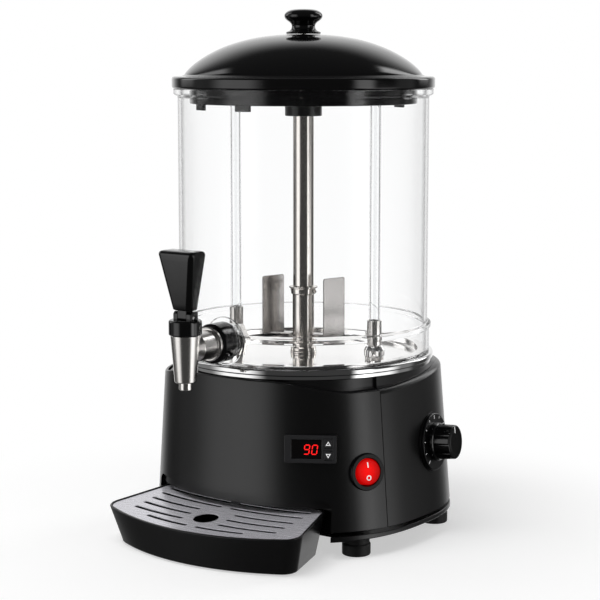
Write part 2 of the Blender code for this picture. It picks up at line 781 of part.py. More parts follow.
def build_feet():
    profile = [
        (0, PAN_UNDERSIDE - GAP), (FOOT_TOP_RADIUS, PAN_UNDERSIDE - GAP), (FOOT_RADIUS, FOOT_CHAMFER),
        (FOOT_RADIUS - FOOT_CHAMFER, 0), (0, 0)]
    places = {
        "foot_front_left": (-FOOT_X, -FOOT_FRONT_Y), "foot_front_right": (FOOT_X, -FOOT_FRONT_Y),
        "foot_rear_left": (-FOOT_X, FOOT_REAR_Y), "foot_rear_right": (FOOT_X, FOOT_REAR_Y)}
    for name, (x, y) in places.items():
        turned(name, profile, machine, "black_rubber", NARROW_STEPS, Matrix.Translation((x, y, 0)))


def plinth_edge(turn):
    """The plinth's lower edge, which arches up between the feet at the sides."""
    return BASE_FOOT + PLINTH_ARCH * math.sin(turn) ** 2 * (1 - math.cos(turn) ** 2 / 2)


def build_base_pan(arch):
    turns = plan_turns(-math.pi, math.pi)[:-1]
    rings = [
        plan_ring(PAN_TOP, PAN_WALL, turns),
        plan_ring(PLINTH_TOP, PAN_WALL, turns),
        plan_ring(PLINTH_TOP, 0, turns),
        plan_ring(lambda turn: plinth_edge(turn) + PLINTH_EDGE, 0, turns),
        plan_ring(plinth_edge, PLINTH_EDGE, turns),
        plan_ring(PAN_UNDERSIDE, PAN_WALL, turns)]
    pan = lofted("base_pan", rings, machine, "black_moulding")
    cut(pan, arch)


def arch_cutter():
    """The arch over the tray, cut through the front of the base."""
    half, top = ARCH_HALF_WIDTH, ARCH_TOP
    outline = [(-half, -OVERRUN), (half, -OVERRUN)]
    outline += arc((half - ARCH_CORNER, top - ARCH_CORNER), ARCH_CORNER, 0, math.pi / 2, CORNER_STEPS)
    outline += arc((ARCH_CORNER - half, top - ARCH_CORNER), ARCH_CORNER, math.pi / 2, math.pi, CORNER_STEPS)
    depth = TRAY_FRONT - HOLDER_DEPTH_Y
    centre = Vector((0, -(TRAY_FRONT + HOLDER_DEPTH_Y) / 2, 0))
    return plate("arch_cutter", [outline], depth, machine,
                 matrix=Matrix.Translation(centre) @ rotation("X", math.pi / 2))


def build_front_shell(arch):
    """The front panel: a wall along the front of the plan, its top edge wavy and slightly rounded."""
    end = SEAM_TURN - SEAM_WIDTH / DECK_HALF_WIDTH
    sections = []
    for turn in plan_turns(-end, end):
        top = edge_height(turn)
        levels = [
            (0, SHELL_FOOT), (0, top - PANEL_EDGE_ROUND),
            (PANEL_EDGE_ROUND * (1 - math.sqrt(0.5)), top - PANEL_EDGE_ROUND * (1 - math.sqrt(0.5))),
            (PANEL_EDGE_ROUND, top), (WALL, top), (WALL, SHELL_FOOT)]
        sections.append([plan_point(turn, z, inset) for inset, z in levels])
    shell = lofted("base_front_shell", sections, machine, "black_moulding")
    cut(shell, arch)
    return shell


def rear_section(turn):
    """One section of the rear shell: its wall, or behind the front panel a short skirt, then the deck."""
    behind_panel = abs(turn) < SEAM_TURN - SEAM_STEP / 2
    outer = WALL + GAP if behind_panel else 0
    top = min(edge_height(turn), DECK_TOP)
    low = top - DECK_SKIRT if behind_panel else SHELL_FOOT
    bend = SHOULDER * (1 - math.sqrt(0.5))
    points = [plan_point(turn, z, outer + inset) for inset, z in (
        (0, low), (0, top - SHOULDER), (bend, top - bend), (SHOULDER, top))]
    corner = points[-1]
    reach = corner.xy.length
    ray = corner.xy / reach
    land = min(SEAT_RADIUS + DECK_LAND, reach - DECK_LAND)
    underside = DECK_TOP - DECK_WALL
    for radius, z in ((land, DECK_TOP), (DECK_HOLE_RADIUS, DECK_TOP), (DECK_HOLE_RADIUS, underside),
                      (land - DECK_LAND, underside)):
        points.append(Vector((*(ray * radius), z)))
    points += [plan_point(turn, z, outer + inset) for inset, z in (
        (WALL, top - SHOULDER - DECK_LAND), (WALL, low))]
    return points


def build_rear_shell():
    """Sides, back, shoulder and deck in one moulding, with the dial's boss, the vents and the cord hole."""
    turns = plan_turns(-SEAM_TURN + SEAM_STEP, SEAM_TURN - SEAM_STEP)
    turns += plan_turns(SEAM_TURN, math.tau - SEAM_TURN)
    shell = lofted("base_rear_shell", [rear_section(turn if turn <= math.pi else turn - math.tau)
                                       for turn in turns],
                   machine, "black_moulding", ring_of_sections=True)
    dial = surface_frame(DIAL_TURN, DIAL_Z)
    join(shell, drum("dial_boss", DIAL_BOSS_RADIUS, -DIAL_BOSS_DEPTH, DIAL_PROUD, machine, matrix=dial))
    cut(shell, drum("dial_hole", THERMOSTAT_SPIGOT + GAP, -DIAL_BOSS_DEPTH - OVERRUN, OVERRUN, machine,
                    steps=NARROW_STEPS, matrix=dial))
    gland = surface_frame(GLAND_TURN, GLAND_Z)
    cut(shell, drum("gland_hole", GLAND_RADIUS + GAP, -WALL - OVERRUN, OVERRUN, machine,
                    steps=NARROW_STEPS, matrix=gland))
    cut(shell, vent_cutter())


def vent_cutter():
    """A stack of slots through the back wall."""

    def fill(bm):
        for i in range(VENT_COUNT):
            centre = (0, FOOT_REAR, VENT_FIRST_Z + i * VENT_PITCH)
            size = (VENT_WIDTH, 2 * (FOOT_REAR - DECK_REAR + WALL + OVERRUN), VENT_HEIGHT)
            bmesh.ops.create_cube(bm, size=1, matrix=Matrix.Translation(centre) @ Matrix.Diagonal((*size, 1)))

    return add_object("vent_cutter", mesh_from("vent_cutter", fill), machine)


def build_tray_holder():
    """The box behind the arch: roof, cheeks and back wall, its front edge following the panel."""
    half = ARCH_HALF_WIDTH + HOLDER_WALL
    roof = ARCH_TOP - HOLDER_BAND
    back = HOLDER_DEPTH_Y
    holder = block("tray_holder", (-half, -FOOT_FRONT, SHELL_FOOT), (half, -back, roof + HOLDER_BAND),
                   machine, "black_moulding")
    combine(holder, base_solid("holder_front", WALL + GAP, BASE_FOOT, DECK_TOP, machine), "INTERSECT")
    inner = ARCH_HALF_WIDTH
    cut(holder,
        block("holder_room", (-inner, -FOOT_FRONT - OVERRUN, 0), (inner, -back - HOLDER_WALL, roof), machine),
        base_solid("holder_relief", WALL + GAP + HOLDER_WALL, roof + HOLDER_WALL, DECK_TOP, machine))
    foot = tongue_height()
    for side, name in ((-1, "slot_left"), (1, "slot_right")):
        reach = TONGUE_WIDTH / 2 + GAP
        cut(holder, block(name, (side * TONGUE_X - reach, -back - HOLDER_WALL - OVERRUN, foot - GAP),
                          (side * TONGUE_X + reach, -back + OVERRUN, foot + TONGUE_HEIGHT + GAP), machine))


def tongue_height():
    """The tongues' underside: a little above the foot of the holder's back wall."""
    return SHELL_FOOT + TONGUE_LIFT


def tray_plane(y, drop=0):
    """The height of the tray's sloping rim plane above a place, lowered by a drop."""
    return TRAY_BACK_HEIGHT + (y + TRAY_BACK) * math.tan(TRAY_SLOPE) - drop


def tray_outline(inset=0, flare_side=0, flare_front=0):
    """The tray's plan: a straight back, flared sides and a bowed front, as arcs and their tangents."""
    front = TRAY_FRONT - flare_front
    corner = Vector((TRAY_CORNER_X - flare_side, -(TRAY_CORNER_Y - flare_front)))
    back = Vector((TRAY_BACK_HALF_WIDTH - flare_side - TRAY_BACK_CORNER, -TRAY_BACK - TRAY_BACK_CORNER))
    ahead = front + corner.y
    bow = (corner.x ** 2 + ahead ** 2 - TRAY_CORNER ** 2) / (2 * (ahead - TRAY_CORNER))
    bow_centre = Vector((0, bow - front))
    bow_end = math.atan2(corner.x, bow_centre.y - corner.y)
    span = corner - back
    side = math.atan2(span.x, -span.y) + math.asin((TRAY_CORNER - TRAY_BACK_CORNER) / span.length)
    side_turn = math.pi / 2 + side
    half = []
    for centre, radius, start, end, steps in (
            (bow_centre, bow, 0, bow_end, BOW_STEPS // 2),
            (corner, TRAY_CORNER, bow_end, side_turn, CORNER_STEPS),
            (back, TRAY_BACK_CORNER, side_turn, math.pi, CORNER_STEPS)):
        first = 0 if radius == bow else 1
        for i in range(first, steps + 1):
            turn = start + (end - start) * i / steps
            reach = max(radius - inset, RIM_WIDTH / 4)
            half.append((centre.x + reach * math.sin(turn), centre.y - reach * math.cos(turn)))
    if half[len(half) // 2][0] < 0:
        raise ValueError("the tray's corners cross its middle")
    return half + [(-x, y) for x, y in reversed(half[1:])]


def build_tray(tray):
    """The tray: a flared basin with a ledge for the grid and two tongues at its back."""
    foot = TRAY_CLEARANCE

    def level(inset, z, flared):
        points = tray_outline(inset, *((TRAY_FLARE_SIDE, TRAY_FLARE_FRONT) if flared else (0, 0)))
        return [Vector((x, y, z(y) if callable(z) else z)) for x, y in points]

    rings = [
        level(TRAY_WALL + TRAY_FOOT_ROUND, foot + TRAY_FLOOR, True),
        level(RIM_WIDTH + LEDGE_WIDTH, lambda y: tray_plane(y, LEDGE_DEPTH + LEDGE_WIDTH), False),
        level(RIM_WIDTH + LEDGE_WIDTH, lambda y: tray_plane(y, LEDGE_DEPTH), False),
        level(RIM_WIDTH, lambda y: tray_plane(y, LEDGE_DEPTH), False),
        level(RIM_WIDTH, tray_plane, False),
        level(TRAY_RIM_ROUND, tray_plane, False),
        level(0, lambda y: tray_plane(y, TRAY_RIM_ROUND), False),
        level(0, foot + TRAY_FOOT_ROUND, True),
        level(TRAY_FOOT_ROUND, foot, True)]
    basin = lofted("drip_tray", rings, tray, "black_moulding")
    rise = tongue_height()
    for side, name in ((-1, "tongue_left"), (1, "tongue_right")):
        join(basin, block(name, (side * TONGUE_X - TONGUE_WIDTH / 2, -TRAY_BACK - TRAY_WALL / 2, rise),
                          (side * TONGUE_X + TONGUE_WIDTH / 2, -TRAY_BACK + TONGUE_LENGTH,
                           rise + TONGUE_HEIGHT), tray))


def slot_outline(side, row):
    """One drain slot: a bowed bar with round ends, its bow following the tray's front."""
    inner = SLOT_INNER_WIDE_X if 2 <= row <= 4 else SLOT_INNER_X
    outer = SLOT_LAST_OUTER_X if row == SLOT_COUNT - 1 else SLOT_OUTER_X
    y = -SLOT_FIRST_Y - row * SLOT_PITCH
    half = SLOT_WIDTH / 2
    length = outer - inner
    lift = length * SLOT_BOW_SHARE * 2

    def middle(share):
        return inner + length * share, y + lift * share ** 2

    near, far = middle(0), middle(1)
    lower = [middle(share) for share in (1 / 3, 2 / 3)]
    outline = arc(near, half, math.pi / 2, math.pi * 1.5, 2)
    outline += [(x, place - half) for x, place in lower]
    outline += arc(far, half, -math.pi / 2, math.pi / 2, 2)
    outline += [(x, place + half) for x, place in reversed(lower)]
    return [(side * x, place) for x, place in outline]


def build_grid(tray):
    """The slotted plate on the tray's ledge, cut in its own plane and laid on the tray's slope."""
    slope = math.cos(TRAY_SLOPE)

    def laid(points):
        return [(x, (y + TRAY_BACK) / slope) for x, y in points]

    outlines = [laid(tray_outline(RIM_WIDTH + GRID_CLEARANCE))]
    outlines += [laid(slot_outline(side, row)) for row in range(SLOT_COUNT) for side in (-1, 1)]
    outlines.append(laid(arc((0, -GRID_HOLE_Y), GRID_HOLE_RADIUS, 0, math.tau * 15 / 16, 15)))
    lift = TRAY_BACK_HEIGHT - (LEDGE_DEPTH - GAP) / slope + GRID_THICKNESS / 2
    place = Matrix.Translation((0, -TRAY_BACK, lift)) @ rotation("X", TRAY_SLOPE)
    plate("drip_grid", outlines, GRID_THICKNESS, tray, "brushed_steel", place)


def build_seat():
    """The chrome ring that carries the tank, and the water pan that hangs in it."""
    ledge = SEAT_BORE - SEAT_LEDGE
    hole = DECK_HOLE_RADIUS - SEAT_SPIGOT_CLEARANCE
    turned("seat_ring", [
        (SEAT_RADIUS - SEAT_ROUND, SEAT_TOP), (SEAT_RADIUS, SEAT_TOP - SEAT_ROUND),
        (SEAT_RADIUS, SEAT_FOOT), (hole, SEAT_FOOT),
        (hole, SEAT_FOOT - SEAT_SPIGOT), (ledge, SEAT_FOOT - SEAT_SPIGOT), (ledge, SEAT_LEDGE_TOP),
        (SEAT_BORE, SEAT_LEDGE_TOP), (SEAT_BORE, SEAT_TOP)], machine, "polished_steel")
    inner = BATH_RADIUS - BATH_WALL
    chimney = CHIMNEY_RADIUS + BATH_WALL
    top = BATH_FLOOR + CHIMNEY_HEIGHT
    pan = turned("water_pan", [
        (SEAT_BORE - GAP, BATH_TOP), (SEAT_BORE - GAP, BATH_TOP - BATH_WALL),
        (BATH_RADIUS, BATH_TOP - BATH_WALL), (BATH_RADIUS, BATH_FLOOR - BATH_WALL),
        (CHIMNEY_RADIUS, BATH_FLOOR - BATH_WALL), (CHIMNEY_RADIUS, top), (chimney, top),
        (chimney, BATH_FLOOR), (inner, BATH_FLOOR), (inner, BATH_TOP)],
        machine, "polished_steel")
    half_gap = (math.tau - ELEMENT_SWEEP) / 2
    level = BATH_FLOOR + ELEMENT_RISE
    run = []
    for i in range(ELEMENT_POINTS):
        angle = -math.pi / 2 + half_gap + ELEMENT_SWEEP * i / (ELEMENT_POINTS - 1)
        run.append(Vector((ELEMENT_RING * math.cos(angle), ELEMENT_RING * math.sin(angle), level)))
    drop = Vector((0, 0, -ELEMENT_LEG - ELEMENT_RISE))
    tube_along("heater_element", [run[0] + drop, *run, run[-1] + drop], ELEMENT_RADIUS, machine,
               "polished_steel")
    for end, name in ((run[0], "element_hole_left"), (run[-1], "element_hole_right")):
        cut(pan, drum(name, ELEMENT_RADIUS + GAP, BATH_FLOOR - BATH_WALL - OVERRUN, BATH_FLOOR + OVERRUN / 2,
                      machine, steps=NARROW_STEPS, matrix=Matrix.Translation((end.x, end.y, 0))))


def build_drive():
    """Gearmotor on its bracket, and the shaft that runs up to the agitator's cap."""
    plate_top = GEARBOX_TOP + GAP + BRACKET_SHEET
    legs = PAN_TOP + GAP
    half, sheet, flange = BRACKET_HALF_LENGTH, BRACKET_SHEET, BRACKET_FLANGE
    hat = [(-half - flange, legs), (-half, legs), (-half, plate_top - sheet), (half, plate_top - sheet),
           (half, legs), (half + flange, legs), (half + flange, legs + sheet), (half + sheet, legs + sheet),
           (half + sheet, plate_top), (-half - sheet, plate_top), (-half - sheet, legs + sheet),
           (-half - flange, legs + sheet)]
    bracket = plate("motor_bracket", [hat], BRACKET_WIDTH, machine, "polished_steel",
                    rotation("X", math.pi / 2))
    cut(bracket, drum("hub_hole", HUB_RADIUS + GAP, plate_top - sheet - OVERRUN, plate_top + OVERRUN, machine,
                      steps=NARROW_STEPS))
    gearbox = block("gearmotor", (-GEARBOX_LENGTH / 2, -GEARBOX_WIDTH / 2, GEARBOX_TOP - GEARBOX_HEIGHT),
                    (GEARBOX_LENGTH / 2, GEARBOX_WIDTH / 2, GEARBOX_TOP), machine, "cast_grey")
    rounded(gearbox, GEARBOX_ROUND)
    hub_top = plate_top + HUB_RISE
    join(gearbox, drum("gear_hub", HUB_RADIUS, GEARBOX_TOP - OVERRUN, hub_top, machine, steps=NARROW_STEPS),
         drum("motor_can", MOTOR_RADIUS, GEARBOX_TOP - GEARBOX_HEIGHT - MOTOR_LENGTH,
              GEARBOX_TOP - GEARBOX_HEIGHT + OVERRUN, machine,
              matrix=Matrix.Translation((MOTOR_OFFSET, 0, 0))))
    shaft_foot = hub_top - SHAFT_SEAT
    cut(gearbox, drum("hub_bore", SHAFT_RADIUS + RUNNING, shaft_foot - GAP, hub_top + OVERRUN, machine,
                      steps=PIN_STEPS))
    axis = add_frame("drive_axis", machine)
    shaft = drum("drive_shaft", SHAFT_RADIUS, shaft_foot, SHAFT_TOP, axis, "polished_steel", PIN_STEPS)
    cut(shaft, block("shaft_flat", (-SHAFT_RADIUS, SHAFT_FLAT, PLUG_FOOT - GAP),
                     (SHAFT_RADIUS, SHAFT_RADIUS + OVERRUN, SHAFT_TOP + OVERRUN), axis))


def tank_profile():
    """The tank's section, down the outside and back up the inside."""
    bulge = (JOINT_RING_RADIUS - TANK_RADIUS) / 4
    return [
        (RIM_RADIUS, TANK_TOP), (RIM_RADIUS, TANK_TOP - RIM_HEIGHT),
        (TANK_RADIUS, TANK_TOP - RIM_HEIGHT - RIM_TAPER), (TANK_RADIUS, JOINT_RING_TOP),
        (JOINT_RING_RADIUS, JOINT_RING_TOP - bulge), (JOINT_RING_RADIUS, JOINT_RING_FOOT + bulge),
        (TANK_SKIRT_RADIUS, JOINT_RING_FOOT), (TANK_SKIRT_RADIUS, TANK_FOOT), (TANK_LIP_RADIUS, TANK_FOOT),
        (TANK_LIP_RADIUS, TANK_FOOT + TANK_LIP), (SKIRT_INNER, TANK_FOOT + TANK_LIP),
        (SKIRT_INNER, JOINT_RING_FOOT), (TANK_INNER, JOINT_RING_TOP), (TANK_INNER, TANK_TOP)]


def tank_clearance(name, frame):
    """The space of the tank's wall and a gap round it, near the tap."""
    top, foot = TANK_TOP - RIM_HEIGHT - RIM_TAPER, TANK_FOOT + TANK_LIP
    return turned(name, [
        (TANK_RADIUS + GAP, top), (TANK_RADIUS + GAP, JOINT_RING_TOP + GAP),
        (JOINT_RING_RADIUS + GAP, JOINT_RING_TOP), (JOINT_RING_RADIUS + GAP, JOINT_RING_FOOT),
        (TANK_SKIRT_RADIUS + GAP, JOINT_RING_FOOT - GAP), (TANK_SKIRT_RADIUS + GAP, foot),
        (SKIRT_INNER - GAP, foot), (SKIRT_INNER - GAP, JOINT_RING_FOOT), (TANK_INNER - GAP, JOINT_RING_TOP),
        (TANK_INNER - GAP, top)], frame)


def along_tap():
    """The inlet's own frame: its Z runs out from the tank's axis to the front, at the tap's height."""
    return Matrix.Translation((0, 0, TAP_HEIGHT)) @ rotation("X", math.pi / 2)


def build_tank(tank):
    wall = turned("tank_wall", tank_profile(), tank, "clear_plastic")
    cut(wall, drum("tap_hole", TAP_SHANK + GAP, TANK_INNER - OVERRUN, JOINT_RING_RADIUS + OVERRUN, tank,
                   steps=MIDDLE_STEPS, matrix=along_tap()))
    rim = FLANGE_FOOT + FLOOR_SHEET
    outer = SEAT_BORE - GAP
    bore = STANDPIPE_RADIUS + GAP
    floor = turned("tank_floor", [
        (SKIRT_INNER - GAP, rim), (SKIRT_INNER - GAP, FLANGE_FOOT), (outer, FLANGE_FOOT),
        (outer, FLOOR_UNDERSIDE + FLOOR_ROUND), (outer - FLOOR_ROUND, FLOOR_UNDERSIDE),
        (bore, FLOOR_UNDERSIDE), (bore, FLOOR_TOP), (outer - FLOOR_ROUND, FLOOR_TOP),
        (outer - FLOOR_SHEET, FLOOR_TOP + FLOOR_ROUND),
        (outer - FLOOR_SHEET, rim)], tank, "polished_steel")
    for side, name in ((-1, "socket_hole_left"), (1, "socket_hole_right")):
        cut(floor, drum(name, SOCKET_SHANK + GAP, FLOOR_UNDERSIDE - OVERRUN, FLOOR_TOP + OVERRUN, tank,
                        steps=NARROW_STEPS, matrix=Matrix.Translation((side * TUBE_X, 0, 0))))


def build_standpipe(tank):
    inner = STANDPIPE_RADIUS - STANDPIPE_WALL
    flange = FLOOR_TOP + GAP
    foot = FLOOR_TOP - STANDPIPE_FOOT
    turned("standpipe", [
        (STANDPIPE_RADIUS, STANDPIPE_TOP), (STANDPIPE_RADIUS, flange + STANDPIPE_FLANGE_HEIGHT),
        (STANDPIPE_FLANGE, flange + STANDPIPE_FLANGE_HEIGHT), (STANDPIPE_FLANGE, flange),
        (STANDPIPE_RADIUS, flange), (STANDPIPE_RADIUS, foot), (inner, foot), (inner, STANDPIPE_TOP)],
        tank, "brushed_steel", NARROW_STEPS)
    top = FLOOR_UNDERSIDE - GAP
    turned("standpipe_nut", [
        (STANDPIPE_NUT, top), (STANDPIPE_NUT, top - STANDPIPE_NUT_HEIGHT),
        (STANDPIPE_RADIUS + GAP, top - STANDPIPE_NUT_HEIGHT), (STANDPIPE_RADIUS + GAP, top)],
        tank, "brushed_steel", NARROW_STEPS)
    bore = SHAFT_RADIUS + RUNNING
    barrel = bore + BUSH_WALL
    head = STANDPIPE_TOP + GAP
    turned("shaft_bush", [
        (STANDPIPE_RADIUS, head + BUSH_HEAD), (STANDPIPE_RADIUS, head), (barrel, head),
        (barrel, head - BUSH_LENGTH), (bore, head - BUSH_LENGTH), (bore, head + BUSH_HEAD)],
        tank, "bronze", NARROW_STEPS)


def build_agitator(agitator):
    """Sleeve, collar, upper tube, cap and the paddles on their hub ring."""
    bore = SLEEVE_RADIUS - SLEEVE_WALL
    foot = FLOOR_TOP + STANDPIPE_FLANGE_HEIGHT + 2 * GAP
    top = foot + SLEEVE_HEIGHT
    turned("agitator_sleeve", [
        (SLEEVE_RADIUS, top), (SLEEVE_RADIUS, foot + SLEEVE_FOOT_HEIGHT),
        (SLEEVE_FOOT_RADIUS, foot + SLEEVE_FOOT_HEIGHT), (SLEEVE_FOOT_RADIUS, foot), (bore, foot),
        (bore, top)],
        agitator, "brushed_steel", NARROW_STEPS)
    collar_foot = top + GAP
    collar_top = collar_foot + COLLAR_HEIGHT
    collar = turned("agitator_collar", [
        (COLLAR_LIP_RADIUS, collar_top), (COLLAR_LIP_RADIUS, collar_top - COLLAR_LIP),
        (COLLAR_RADIUS, collar_top - COLLAR_LIP), (COLLAR_RADIUS, collar_foot), (bore, collar_foot),
        (bore, collar_top)], agitator, "brushed_steel", NARROW_STEPS)
    pin_height = (collar_foot + collar_top - COLLAR_LIP) / 2
    across = Matrix.Translation((0, 0, pin_height)) @ rotation("Y", math.pi / 2)
    pin = drum("collar_pin", COLLAR_PIN_RADIUS, -COLLAR_PIN_HALF_LENGTH, COLLAR_PIN_HALF_LENGTH, agitator,
               steps=PIN_STEPS, matrix=across)
    join(collar, pin)
    cut(collar, drum("collar_bore", bore, collar_foot - OVERRUN, collar_top + OVERRUN, agitator,
                     steps=NARROW_STEPS))
    tube_foot = collar_top + GAP
    inner = STIRRER_RADIUS - STIRRER_WALL
    turned("agitator_tube", [
        (STIRRER_RADIUS, STIRRER_TOP), (STIRRER_RADIUS, tube_foot), (inner, tube_foot), (inner, STIRRER_TOP)],
        agitator, "brushed_steel", NARROW_STEPS)
    socket_top = SHAFT_TOP + GAP
    head = STIRRER_TOP + GAP
    cap = turned("agitator_cap", [
        (0, head + CAP_HEAD), (STIRRER_RADIUS, head + CAP_HEAD), (STIRRER_RADIUS, head), (inner - GAP, head),
        (inner - GAP, PLUG_FOOT), (0, PLUG_FOOT)], agitator, "brushed_steel", NARROW_STEPS)
    socket = drum("cap_socket", SHAFT_RADIUS + RUNNING, PLUG_FOOT - OVERRUN, socket_top, agitator,
                  steps=PIN_STEPS)
    cut(socket, block("cap_flat", (-SHAFT_RADIUS - OVERRUN, SHAFT_FLAT + RUNNING, PLUG_FOOT - 2 * OVERRUN),
                      (SHAFT_RADIUS + OVERRUN, SHAFT_RADIUS + OVERRUN, socket_top + OVERRUN), agitator))
    cut(cap, socket)
    build_paddles(agitator, foot)


def build_paddles(agitator, sleeve_foot):
    ring_foot = sleeve_foot + HUB_RING_RISE
    ring_top = ring_foot + HUB_RING_HEIGHT
    inner = SLEEVE_RADIUS + GAP
    turned("agitator_hub", [
        (HUB_RING_RADIUS, ring_top), (HUB_RING_RADIUS, ring_foot), (inner, ring_foot), (inner, ring_top)],
        agitator, "brushed_steel", NARROW_STEPS)
    foot = ring_top + GAP
    for name, turn in (("paddle_right", PADDLE_ARM_TURN), ("paddle_left", PADDLE_ARM_TURN + math.pi)):
        arm = rotation("Z", turn)
        blade_place = arm @ Matrix.Translation((PADDLE_RADIUS, 0, foot)) @ rotation("Z", PADDLE_PITCH)
        half, corner = PADDLE_WIDTH / 2, PADDLE_CORNER
        outline = [(-half, 0), (half, 0)]
        outline += arc((half - corner, PADDLE_HEIGHT - corner), corner, 0, math.pi / 2, 3)
        outline += arc((corner - half, PADDLE_HEIGHT - corner), corner, math.pi / 2, math.pi, 3)
        blade = plate(name, [outline], PADDLE_SHEET, agitator, "brushed_steel",
                      blade_place @ rotation("X", math.pi / 2))
        join(blade, block(name + "_foot", (inner, -PADDLE_FOOT_WIDTH / 2, foot),
                          (PADDLE_RADIUS + PADDLE_SHEET, PADDLE_FOOT_WIDTH / 2, foot + PADDLE_SHEET),
                          agitator, matrix=arm))
        cut(blade, drum(name + "_eye", inner, foot - OVERRUN, foot + OVERRUN, agitator, steps=NARROW_STEPS))


def build_tubes(tank):
    """The two clear tubes of the water bath, each in a socket that passes through the tank's floor."""
    bore = TUBE_RADIUS - TUBE_WALL
    foot = FLOOR_TOP + GAP
    seat = SOCKET_TOP - SOCKET_DEPTH
    tail = FLOOR_UNDERSIDE - SOCKET_TAIL
    nut_foot = foot + SOCKET_FOOT + GAP
    for side, word, tube in ((-1, "left", "fill_tube"), (1, "right", "vent_tube")):
        place = Matrix.Translation((side * TUBE_X, 0, 0))
        turned(tube, [
            (TUBE_RADIUS, TUBE_TOP), (TUBE_RADIUS, seat + GAP), (bore, seat + GAP), (bore, TUBE_TOP)],
            tank, "clear_plastic", PIN_STEPS, place)
        turned("tube_socket_" + word, [
            (SOCKET_RADIUS, SOCKET_TOP), (SOCKET_RADIUS, nut_foot + TUBE_NUT_HEIGHT + GAP),
            (SOCKET_SHANK, nut_foot + TUBE_NUT_HEIGHT + GAP), (SOCKET_SHANK, foot + SOCKET_FOOT),
            (SOCKET_FOOT_RADIUS, foot + SOCKET_FOOT), (SOCKET_FOOT_RADIUS, foot), (SOCKET_SHANK, foot),
            (SOCKET_SHANK, tail), (bore, tail), (bore, seat), (TUBE_RADIUS + GAP, seat),
            (TUBE_RADIUS + GAP, SOCKET_TOP)], tank, "brushed_steel", NARROW_STEPS, place)
        turned("tube_nut_" + word, [
            (TUBE_NUT_RADIUS, nut_foot + TUBE_NUT_HEIGHT), (TUBE_NUT_RADIUS, nut_foot),
            (SOCKET_SHANK + GAP, nut_foot), (SOCKET_SHANK + GAP, nut_foot + TUBE_NUT_HEIGHT)],
            tank, "brushed_steel", NARROW_STEPS, place)


def build_tap_fixings(tank):
    """Flange washer, outer nut and back nut, on the tap's shank through the tank's wall."""
    inlet = along_tap()
    hole = TAP_SHANK + GAP
    clearance = tank_clearance("tank_clearance", tank)
    flange = turned("tap_flange", [
        (TAP_FLANGE_RADIUS, TAP_FLANGE_FACE), (TAP_FLANGE_RADIUS, TANK_INNER), (hole, TANK_INNER),
        (hole, TAP_FLANGE_FACE)], tank, "clear_plastic", MIDDLE_STEPS, inlet)
    core = drum("tank_room", SKIRT_INNER, TANK_FOOT, TANK_TOP, tank, steps=WIDE_STEPS)
    cut(flange, clearance, core)
    face = TAP_FLANGE_FACE + GAP
    end = face + TAP_NUT_LENGTH
    turned("tap_nut", [
        (TAP_NUT_RADIUS - TAP_NUT_CHAMFER, end), (TAP_NUT_RADIUS, end - TAP_NUT_CHAMFER),
        (TAP_NUT_RADIUS, face), (hole, face), (hole, end)], tank, "gloss_black", MIDDLE_STEPS, inlet)
    back = turned("tap_back_nut", [
        (BACK_NUT_RADIUS, TANK_INNER), (BACK_NUT_RADIUS, TANK_INNER - BACK_NUT_LENGTH),
        (hole, TANK_INNER - BACK_NUT_LENGTH), (hole, TANK_INNER)], tank, "brushed_steel", MIDDLE_STEPS, inlet)
    cut(back, clearance)
    return end + GAP


def build_tap_body(tank, collar_face):
    """The steel tap: a tapered body with a conical valve seat, and the inlet through the tank's wall."""
    spout_bore = SPOUT_RADIUS - SPOUT_WALL
    seat_drop = BODY_BORE - spout_bore
    upright = Matrix.Translation((0, -TAP_REACH, 0))
    body = turned("tap_body", [
        (BODY_TOP_RADIUS, BODY_TOP + OVERRUN), (BODY_TOP_RADIUS, BODY_TOP), (BODY_FOOT_RADIUS, BODY_FOOT),
        (SPOUT_RADIUS, BODY_FOOT), (SPOUT_RADIUS, SPOUT_END), (spout_bore, SPOUT_END),
        (spout_bore, SEAT_CONE_TOP - seat_drop), (BODY_BORE, SEAT_CONE_TOP), (BODY_BORE, BODY_TOP + OVERRUN)],
        tank, "brushed_steel", MIDDLE_STEPS, upright)
    collar_end = collar_face + TAP_COLLAR_LENGTH
    inlet_end = TAP_REACH - TAP_BORE
    inlet = turned("tap_inlet", [
        (0, inlet_end), (TAP_BORE + SPOUT_WALL, inlet_end), (TAP_PIPE_RADIUS, TAP_REACH - BODY_TOP_RADIUS),
        (TAP_PIPE_RADIUS, collar_end), (TAP_COLLAR_RADIUS, collar_end), (TAP_COLLAR_RADIUS, collar_face),
        (TAP_SHANK, collar_face), (TAP_SHANK, TAP_INNER_END), (0, TAP_INNER_END)],
        tank, None, MIDDLE_STEPS, along_tap())
    room = turned("tap_room", [
        (0, BODY_TOP + 2 * OVERRUN), (BODY_BORE, BODY_TOP + 2 * OVERRUN), (BODY_BORE, SEAT_CONE_TOP),
        (spout_bore, SEAT_CONE_TOP - seat_drop), (0, SEAT_CONE_TOP - seat_drop)],
        tank, None, MIDDLE_STEPS, upright)
    level = drum("tap_level", TAP_COLLAR_RADIUS + OVERRUN, BODY_TOP, BODY_TOP + TAP_COLLAR_RADIUS, tank,
                 matrix=upright)
    join(body, inlet)
    cut(body, room, drum("inlet_bore", TAP_BORE, TAP_INNER_END - OVERRUN, TAP_REACH, tank,
                         steps=PIN_STEPS, matrix=along_tap()), level)


def pivot_outline(radius, foot):
    """A tab seen from the side: square at one end and round about the pivot at the other."""
    if foot < 0:
        return [(-radius, foot), (radius, foot)] + arc((0, 0), radius, 0, math.pi, 8)
    return [(radius, foot), (-radius, foot)] + arc((0, 0), radius, math.pi, math.tau, 8)


